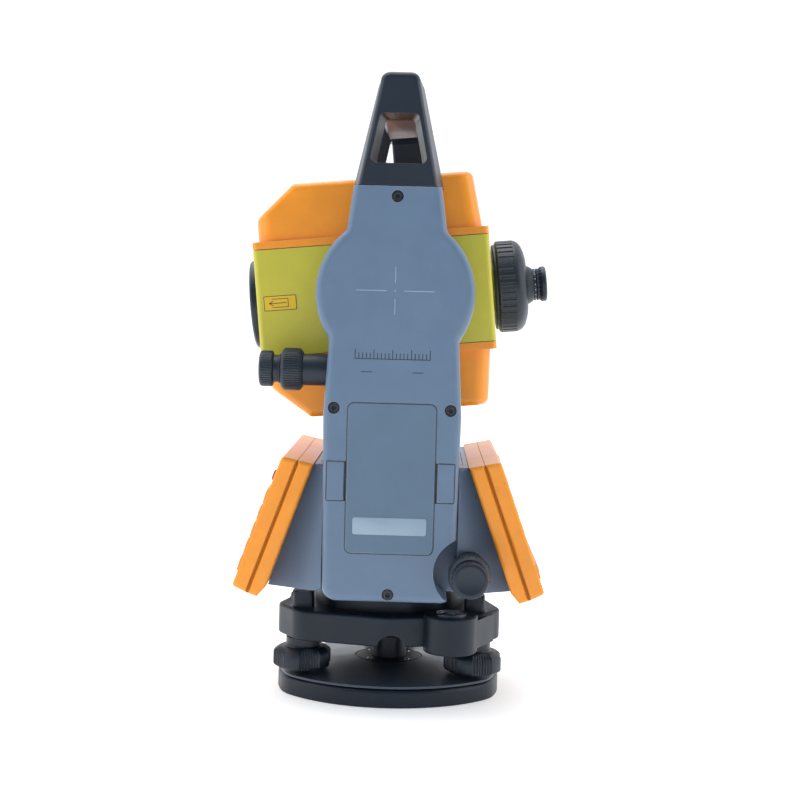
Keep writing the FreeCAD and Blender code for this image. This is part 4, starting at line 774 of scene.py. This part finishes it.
def make_focus_ring():
    """Focusing ring: ribbed grip, smooth shoulder and cone, as one turned piece."""
    origin, axis = joint_line("focus_turn")
    low, high = (value / MM for value in reach_along("focus_ring", origin, axis))
    radius = radius_about("focus_ring", origin, axis) / MM
    inner = high - FOCUS_END_WALL
    profile = [
        (low, FOCUS_BORE, 0), (low, radius - 2.4, 0), (low + 0.6, radius - 1.9, 0),
        (low + 1.5, radius - 1.9, 0), (low + 2.1, radius - 0.7, 0), (low + 2.8, radius, 0),
        (low + 3.2, radius, FOCUS_RIB_DEPTH), (low + 11.6, radius, FOCUS_RIB_DEPTH)]
    profile += [(low + rise, radius - inset, 0) for rise, inset in FOCUS_SHOULDER]
    profile += [(low + rise, nose, 0) for rise, nose in FOCUS_NOSE]
    profile += [(low + FOCUS_NOSE[-1][0], FOCUS_EYE_BORE, 0), (inner, FOCUS_EYE_BORE, 0),
                (inner, FOCUS_BORE, 0)]
    add_piece("focusing_grip", lathe(profile, FOCUS_RIBS, FOCUS_RIB_PATTERN),
              axis_frame(origin, axis), "focus_ring", "black_anodised", replaces=("focus_ring",))


def make_eyepiece():
    """Flared eyecup, and light dioptre dots on the rim at its foot."""
    origin, axis = joint_line("eyepiece_turn")
    low, high = (value / MM for value in reach_along("eyepiece_ring", origin, axis))
    radius = radius_about("eyepiece_ring", origin, axis) / MM
    high -= EYECUP_SHORTER
    neck = high - EYECUP_LENGTH
    profile = [
        (low, EYE_HOLE, 0), (low, EYE_JOURNAL, 0), (neck, EYE_JOURNAL, 0), (neck + 0.2, 7.7, 0),
        (neck + 2.2, 7.5, 0),
        (neck + 2.3, DOT_RING, 0), (neck + 3.5, DOT_RING, 0), (neck + 3.7, 8.6, 0),
        (neck + 4.3, 9.6, 0.3), (neck + 5.3, radius - 1.3, 0.3), (high - 3.0, radius - 0.2, 0.3),
        (high - 2.4, radius, 0), (high - 0.8, radius, 0),
        (high, radius - 0.8, 0), (high, 7.2, 0), (high - 1.8, 5.6, 0), (high - 3.4, EYE_HOLE, 0)]
    place = axis_frame(origin, axis)
    add_piece("eyecup", lathe(profile, EYECUP_RIBS, FINE_RIB), place, "eyepiece_ring", "black_anodised",
              replaces=("eyepiece_ring",))
    dots = bmesh.new()
    for step in range(DIOPTRE_DOTS):
        angle = 2.0 * math.pi * step / DIOPTRE_DOTS
        spot = Matrix.Rotation(angle, 4, "Z") @ Matrix.Translation((DOT_RING, 0.0, neck + DOT_RISE))
        bmesh.ops.create_uvsphere(dots, u_segments=10, v_segments=6, radius=DOT_RADIUS, matrix=spot)
    add_piece("dioptre_dots", dots, place, "eyepiece_ring", "label_paper")


def make_label():
    """Plain yellow direction label with a thin border and an arrow towards the objective."""
    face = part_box("telescope_body")[0].y
    place = telescope_frame(face, *LABEL_AT)
    width, height = LABEL_SIZE
    edge = rounded_outline(width, height, LABEL_CORNER)
    add_piece("direction_label", prism(edge, 0.0, LABEL_THICK), place, "telescope", "label_yellow")
    levels = (LABEL_THICK, LABEL_INK_TOP)
    box_x, box_y = ARROW_BOX
    ink = frame_prism(edge, rounded_outline(width - 0.7, height - 0.7, 0.3), *levels)
    bar(ink, (-6.0, 0.0), (3.6, 0.0), 0.4, *levels)
    for side in (-1, 1):
        bar(ink, (-6.2, 0.0), (-4.0, 1.3 * side), 0.4, *levels)
        bar(ink, (-box_x, box_y * side), (box_x, box_y * side), 0.35, *levels)
    bar(ink, (box_x, -box_y), (box_x, box_y), 0.35, *levels)
    add_piece("direction_label_print", ink, place, "telescope", "dark_ink")


# ------------------------------------------------------------------ casing

SCREW_STEPS = 36
SCREW_DEPTH = 3.2
SCREW_EDGE = 0.35
SCREW_SOCKET_HALF = 1.45
SCREW_SOCKET_DEPTH = 1.8
INK_THICK = 0.05
AXIS_MARK_RAISE = 1.6
CROSS_LEVEL_ARM = (4.8, 21.4)
CROSS_UPRIGHT_ARM = (4.4, 13.0)
TICKS = 10
TICK_PITCH = 2.05
TICK_HEIGHT = 5.0
TICK_WIDTH = 0.5
MARKS_HEIGHT = 199.6
DASH_REACH = (11.0, 17.0)
DASH_DROP = 7.4
NAMEPLATE_RISE = 15.2
NAMEPLATE_SIZE = (40.5, 9.4)
DOOR_GAP_SHADE_WIDTH = 0.45
DOOR_CORNER = 3.4
LATCH_CORNER = 0.8
HANDLE_LEG_INNER = 59.0
HANDLE_SHOULDER = 10.9
HANDLE_DRAFT = 2.6
HANDLE_SPREAD = 1.3
CROWN_HEIGHT = 9.0
HANDLE_DRAFT_REACH = 4.8
WINDOW_HEIGHTS = (305.0, 333.0)
WINDOW_HALF = 8.0
WINDOW_DRAFT = 2.6
GRIP_BOTTOM = 333.2
GRIP_PAD_LENGTH = 112.0
GRIP_PAD_WIDTH = 17.0
GRIP_RIB_INSET = 4.0


def near_face(x, z):
    """Frame at a point of the near standard's outer face: right along +X and up along +Z."""
    return face_frame(Vector((x * MM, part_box("near_standard_cover")[0].y, z * MM)),
                      Vector((1, 0, 0)), Vector((0, 0, 1)))


def make_casing_screws():
    """Socket-head screws sunk in the standards' covers, each with a hexagonal recess."""
    shape = bmesh.new()
    for low, high in separate_solids("casing_screws"):
        middle = (low + high) / 2 / MM
        near = middle.y < 0
        face = (low.y if near else high.y) / MM
        radius = (high.x - low.x) / 2 / MM
        head = bmesh.new()
        outer, top, inner, hexagon = [], [], [], []
        for step in range(SCREW_STEPS):
            angle = 2 * math.pi * step / SCREW_STEPS
            to_flat = (angle + math.pi / 6) % (math.pi / 3) - math.pi / 6
            for ring, size, level in ((outer, radius, -SCREW_DEPTH), (top, radius, -SCREW_EDGE),
                                      (inner, radius - SCREW_EDGE, 0.0),
                                      (hexagon, SCREW_SOCKET_HALF / math.cos(to_flat), 0.0)):
                ring.append(head.verts.new((size * math.cos(angle), size * math.sin(angle), level)))
        floor = [head.verts.new((vertex.co.x, vertex.co.y, -SCREW_SOCKET_DEPTH)) for vertex in hexagon]
        rings = [outer, top, inner, hexagon, floor]
        for first, second in zip(rings, rings[1:]):
            for step in range(SCREW_STEPS):
                after = (step + 1) % SCREW_STEPS
                head.faces.new((first[step], first[after], second[after], second[step]))
        head.faces.new(list(reversed(outer)))
        head.faces.new(floor)
        up = Vector((0, 0, 1))
        right = Vector((1, 0, 0)) if near else Vector((-1, 0, 0))
        head.transform(face_frame(Vector((middle.x, face, middle.z)), right, up))
        join_into(shape, head)
    add_piece("cover_screws", shape, Matrix.Identity(4), "alidade", "dark_steel",
              replaces=("casing_screws",))


def make_axis_cross():
    """Fine cross on the near standard that marks the tilting axis."""
    pivot, _ = joint_line("telescope_tilt")
    shape = bmesh.new()
    for side in (-1, 1):
        near, far = (reach * side for reach in CROSS_LEVEL_ARM)
        bar(shape, (near, 0.0), (far, 0.0), 0.45, 0.0, INK_THICK)
        near, far = (reach * side for reach in CROSS_UPRIGHT_ARM)
        bar(shape, (0.0, near), (0.0, far), 0.4, 0.0, INK_THICK)
    lathe([(0.0, 0, 0), (0.0, 0.4, 0), (INK_THICK, 0.4, 0), (INK_THICK, 0, 0)], 20, shape=shape)
    place = near_face(0.0, pivot.z / MM + AXIS_MARK_RAISE)
    add_piece("tilting_axis_mark", shape, place, "alidade", "light_ink")


def make_graduation_marks():
    """Neutral row of short ticks under the bulge, with two dashes below."""
    shape = bmesh.new()
    for step in range(-TICKS, TICKS + 1):
        tall = TICK_HEIGHT * (1.0 if step % 5 == 0 else 0.6)
        bar(shape, (step * TICK_PITCH, 0.0), (step * TICK_PITCH, tall), TICK_WIDTH, 0.0, INK_THICK)
    end, foot = TICKS * TICK_PITCH + TICK_WIDTH / 2, -TICK_WIDTH / 2
    bar(shape, (-end, foot), (end, foot), TICK_WIDTH, 0.0, INK_THICK)
    for side in (-1, 1):
        near, far = (reach * side for reach in DASH_REACH)
        bar(shape, (near, -DASH_DROP), (far, -DASH_DROP), 0.45, 0.0, INK_THICK)
    add_piece("graduation_marks", shape, near_face(-0.5, MARKS_HEIGHT), "alidade", "dark_ink")


def make_nameplate():
    """Blank pale plate near the foot of the battery door."""
    low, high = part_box("battery_cover")
    middle = Vector(((low.x + high.x) / 2, low.y, low.z + NAMEPLATE_RISE * MM))
    place = face_frame(middle, Vector((1, 0, 0)), Vector((0, 0, 1)))
    plate = prism(rounded_outline(*NAMEPLATE_SIZE, 1.2), 0.0, 0.22, 0.12)
    add_piece("nameplate", plate, place, "battery", "label_paper")


def make_door_gap_shade():
    """Thin dark strips round the battery door and its two latches: painted shade for the shadow in their gaps."""
    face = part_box("near_standard_cover")[0].y
    shape = bmesh.new()
    for node in ("battery_cover", "battery_latch_left", "battery_latch_right"):
        low, high = (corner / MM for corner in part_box(node))
        middle = ((low.x + high.x) / 2, (low.z + high.z) / 2)
        width, height = high.x - low.x + 0.1, high.z - low.z + 0.1
        corner = DOOR_CORNER if node == "battery_cover" else LATCH_CORNER
        wide, tall = width + 2 * DOOR_GAP_SHADE_WIDTH, height + 2 * DOOR_GAP_SHADE_WIDTH
        frame_prism(rounded_outline(wide, tall, corner + 0.4, middle=middle),
                    rounded_outline(width, height, corner, middle=middle), -0.6, 0.04, shape=shape)
    place = face_frame(Vector((0.0, face, 0.0)), Vector((1, 0, 0)), Vector((0, 0, 1)))
    # Painted shade: dark strips standing in for the shadow in the narrow gaps round the door and latches.
    add_piece("battery_gap_shade", shape, place, "alidade", "port_rubber")


def make_handle():
    """Carrying handle with drafted legs: their sides lean in to the outer face, the window's lean out."""
    low, high = (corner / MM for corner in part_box("carrying_handle"))
    face = high.y
    shape = bmesh.new()
    shape.from_mesh(NODES["carrying_handle"].data)
    for vertex in shape.verts:
        spot = vertex.co / MM
        out = (abs(spot.y) - HANDLE_LEG_INNER) / (face - HANDLE_LEG_INNER)
        if out < -0.01:
            continue
        rise = (spot.z - low.z) / (high.z - low.z)
        edge = high.x + (HANDLE_SHOULDER - high.x) * rise
        share = min(1.0, max(0.0, (abs(spot.x) - edge + HANDLE_DRAFT_REACH) / HANDLE_DRAFT_REACH))
        share *= min(1.0, (high.z - spot.z) / CROWN_HEIGHT)
        out = max(0.0, out)
        shift = (HANDLE_DRAFT * out - HANDLE_SPREAD * (1.0 - out)) * share
        in_window = WINDOW_HEIGHTS[0] < spot.z < WINDOW_HEIGHTS[1] and abs(spot.x) < edge - HANDLE_DRAFT_REACH
        if in_window and out < 0.2 and abs(spot.x) > WINDOW_HALF:
            shift = WINDOW_DRAFT
        vertex.co.x -= shift * math.copysign(MM, spot.x)
    shape.transform(Matrix.Scale(1.0 / MM, 4))
    add_piece("handle_shell", shape, Matrix.Identity(4), "alidade", SLOT_OF["carrying_handle"],
              replaces=("carrying_handle",))


def make_grip_pad():
    """Soft pad under the carrying grip, with a rib at each end."""
    place = face_frame(Vector((0.0, 0.0, GRIP_BOTTOM * MM)), Vector((1, 0, 0)), Vector((0, -1, 0)))
    shape = prism(rounded_outline(GRIP_PAD_WIDTH, GRIP_PAD_LENGTH, 2.5), -0.4, 0.9, 0.7)
    reach = GRIP_PAD_WIDTH / 2 - 1
    for side in (-1, 1):
        along = side * (GRIP_PAD_LENGTH / 2 - GRIP_RIB_INSET)
        bar(shape, (-reach, along), (reach, along), 1.6, 0.5, 1.3)
    add_piece("grip_pad", shape, place, "alidade", "grip_rubber")


# ------------------------------------------------------------------ keyboards

POWER_KEY_AT = (60.0, 65.2)
KEY_SIZE = (8.6, 6.0)
KEY_CORNER = 1.3
KEY_FOOT = -3.4
KEY_PROUD = 1.4
KEY_SHEET_LEVELS = (-3.7, -2.6)
KEY_SHEET_SIZE = (50.0, 50.0)
FUNCTION_SHEET_SIZE = (78.0, 9.6)
LEGEND_SIZE = 4.2
KEY_ROWS = [13.6 + 10.2 * row for row in range(5)]
KEY_COLUMNS = [27.0 + 11.5 * column for column in range(4)]
FUNCTION_COLUMNS = [-57.0 + 20.0 * column for column in range(4)]
KEY_FACES = ("0.-+", "123=", "456<", "789>", "/*:%")
SPLIT_DEPTH = 9.0
SHELL_DEPTH = 18.0
SHELL_SEAL_SIZE = (147.9, 80.0)
SHELL_SEAL_WALL = 1.6
SHELL_SEAL_MIDDLE = 39.2
BACK_SEAL_SIZE = (97.0, 64.0)
BACK_SEAL_MIDDLE = 40.0
DISPLAY_SINK = 1.2
SCREEN_AT = (-27.0, 47.5)
SCREEN_SIZE = (69.0, 38.0)
FIGURE_ROWS = ("90  00  00", "180  00  00", "0.000")
FIGURE_SIZE = 6.4
FIRST_ROW_DROP = 8.0
ROW_PITCH = 10.5
RULE_DROP = 34.0
RULE_HALF = 33.0


def keyboard_frame(side):
    """Frame of a keyboard's face: right along the rows, up the face, and its level at the face."""
    name = "left" if side < 0 else "right"
    _, press = joint_line(f"power_{name}_press")
    out = -press
    right = Vector((0.0, side, 0.0))
    up = out.cross(right)
    low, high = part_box(f"power_key_{name}")
    middle = (low + high) / 2
    pane = reach_along(f"display_{name}", Vector((0, 0, 0)), out)[1] + DISPLAY_SINK * MM
    level = out * (pane - middle.dot(out))
    origin = middle + level - right * POWER_KEY_AT[0] * MM - up * POWER_KEY_AT[1] * MM
    return face_frame(origin, right, up), name


def make_keypad(side):
    """Silicone keys with soft edges on their sheets, and printed generic legends."""
    place, name = keyboard_frame(side)
    shape = bmesh.new()
    spots = [(x, y) for y in KEY_ROWS for x in KEY_COLUMNS] + [(x, KEY_ROWS[0]) for x in FUNCTION_COLUMNS]
    for spot in spots:
        prism(rounded_outline(*KEY_SIZE, KEY_CORNER, middle=spot), KEY_FOOT, KEY_PROUD, 0.55, shape=shape,
              steps=3)
    keys_middle = ((KEY_COLUMNS[0] + KEY_COLUMNS[-1]) / 2, (KEY_ROWS[0] + KEY_ROWS[-1]) / 2)
    functions_middle = ((FUNCTION_COLUMNS[0] + FUNCTION_COLUMNS[-1]) / 2, KEY_ROWS[0])
    for size, middle in ((KEY_SHEET_SIZE, keys_middle), (FUNCTION_SHEET_SIZE, functions_middle)):
        prism(rounded_outline(*size, 1.0, middle=middle), *KEY_SHEET_LEVELS, shape=shape)
    add_piece(f"keys_{name}", shape, place, "alidade", "key_rubber", replaces=(f"keypad_{name}",))
    print_shape = bmesh.new()
    for y, faces in zip(KEY_ROWS, KEY_FACES):
        for x, face in zip(KEY_COLUMNS, faces):
            add_text(print_shape, face, LEGEND_SIZE, (x, y), KEY_PROUD + 0.02)
    for x in FUNCTION_COLUMNS:
        bar(print_shape, (x - 1.8, KEY_ROWS[0]), (x + 1.8, KEY_ROWS[0]), 0.6, KEY_PROUD, KEY_PROUD + 0.06)
    add_piece(f"key_legends_{name}", print_shape, place, "alidade", "dark_ink")


def make_keyboard_seals(side):
    """Seal in the joint of a keyboard's two shells, and the one under its back on the casing's side."""
    place, name = keyboard_frame(side)
    middle = (0.0, SHELL_SEAL_MIDDLE)
    width, height = SHELL_SEAL_SIZE
    inner_size = (width - 2 * SHELL_SEAL_WALL, height - 2 * SHELL_SEAL_WALL)
    rim = frame_prism(rounded_outline(width, height, 2.0, middle=middle),
                      rounded_outline(*inner_size, 1.0, middle=middle),
                      -SPLIT_DEPTH - 0.45, -SPLIT_DEPTH + 0.05)
    prism(rounded_outline(*BACK_SEAL_SIZE, 1.0, middle=(0.0, BACK_SEAL_MIDDLE)), -SHELL_DEPTH - 0.12,
          -SHELL_DEPTH + 0.1, shape=rim)
    add_piece(f"keyboard_seal_{name}", rim, place, "alidade", "seal_rubber")


def make_screen(side):
    """Liquid crystal panel behind the pane, with rows of plain figures."""
    place, name = keyboard_frame(side)
    level = -DISPLAY_SINK + 0.02
    print_level = level + 0.1
    panel = prism(rounded_outline(*SCREEN_SIZE, 1.0, middle=SCREEN_AT), level, print_level, 0.05)
    add_piece(f"screen_{name}", panel, place, "alidade", "screen")
    figures = bmesh.new()
    middle, top = SCREEN_AT[0], SCREEN_AT[1] + SCREEN_SIZE[1] / 2
    for row, text in enumerate(FIGURE_ROWS):
        add_text(figures, text, FIGURE_SIZE, (middle, top - FIRST_ROW_DROP - ROW_PITCH * row), level + 0.14)
    rule = top - RULE_DROP
    bar(figures, (middle - RULE_HALF, rule), (middle + RULE_HALF, rule), 0.35, print_level, level + 0.14)
    add_piece(f"screen_figures_{name}", figures, place, "alidade", "dark_ink")


# ------------------------------------------------------------------ the circular level

LEVEL_RING = (3.3, 3.7)
LEVEL_RIM = (8.2, 9.0)
BUBBLE_RADIUS = 2.4


def make_level():
    """Index ring, rim and bubble of the circular level."""
    low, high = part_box("circular_level_glass")
    middle = Vector(((low.x + high.x) / 2, (low.y + high.y) / 2, high.z))
    place = axis_frame(middle, Vector((0, 0, 1)))
    inner, outer = LEVEL_RING
    ring = lathe([(0.0, inner, 0), (0.0, outer, 0), (0.08, outer, 0), (0.08, inner, 0)], 48)
    add_piece("level_index_ring", ring, place, "head", "dark_ink")
    inner, outer = LEVEL_RIM
    rim = lathe([(-0.9, inner, 0), (-0.9, outer, 0), (0.25, outer, 0), (0.4, outer - 0.2, 0),
                 (0.4, inner + 0.2, 0), (0.2, inner, 0)], 64)
    add_piece("level_rim", rim, place, "head", "steel")
    bubble = lathe([(0.02, 0, 0), (0.02, BUBBLE_RADIUS, 0), (0.14, BUBBLE_RADIUS - 0.2, 0), (0.2, 0, 0)], 40)
    add_piece("level_bubble", bubble, place, "head", "screen")


# ------------------------------------------------------------------ the whole model

bpy.context.scene.view_settings.view_transform = "Standard"
make_camera()
MATERIALS = make_materials()
dress_nodes()
make_studio()
make_foot_screws()
make_foot_caps()
make_hub_screws()
make_lock_knob()
for drive in ("vertical", "horizontal"):
    make_drive(drive)
make_focus_ring()
make_eyepiece()
make_label()
make_casing_screws()
make_axis_cross()
make_graduation_marks()
make_nameplate()
make_door_gap_shade()
make_handle()
make_grip_pad()
for side in (-1, 1):
    make_keypad(side)
    make_keyboard_seals(side)
    make_screen(side)
make_level()
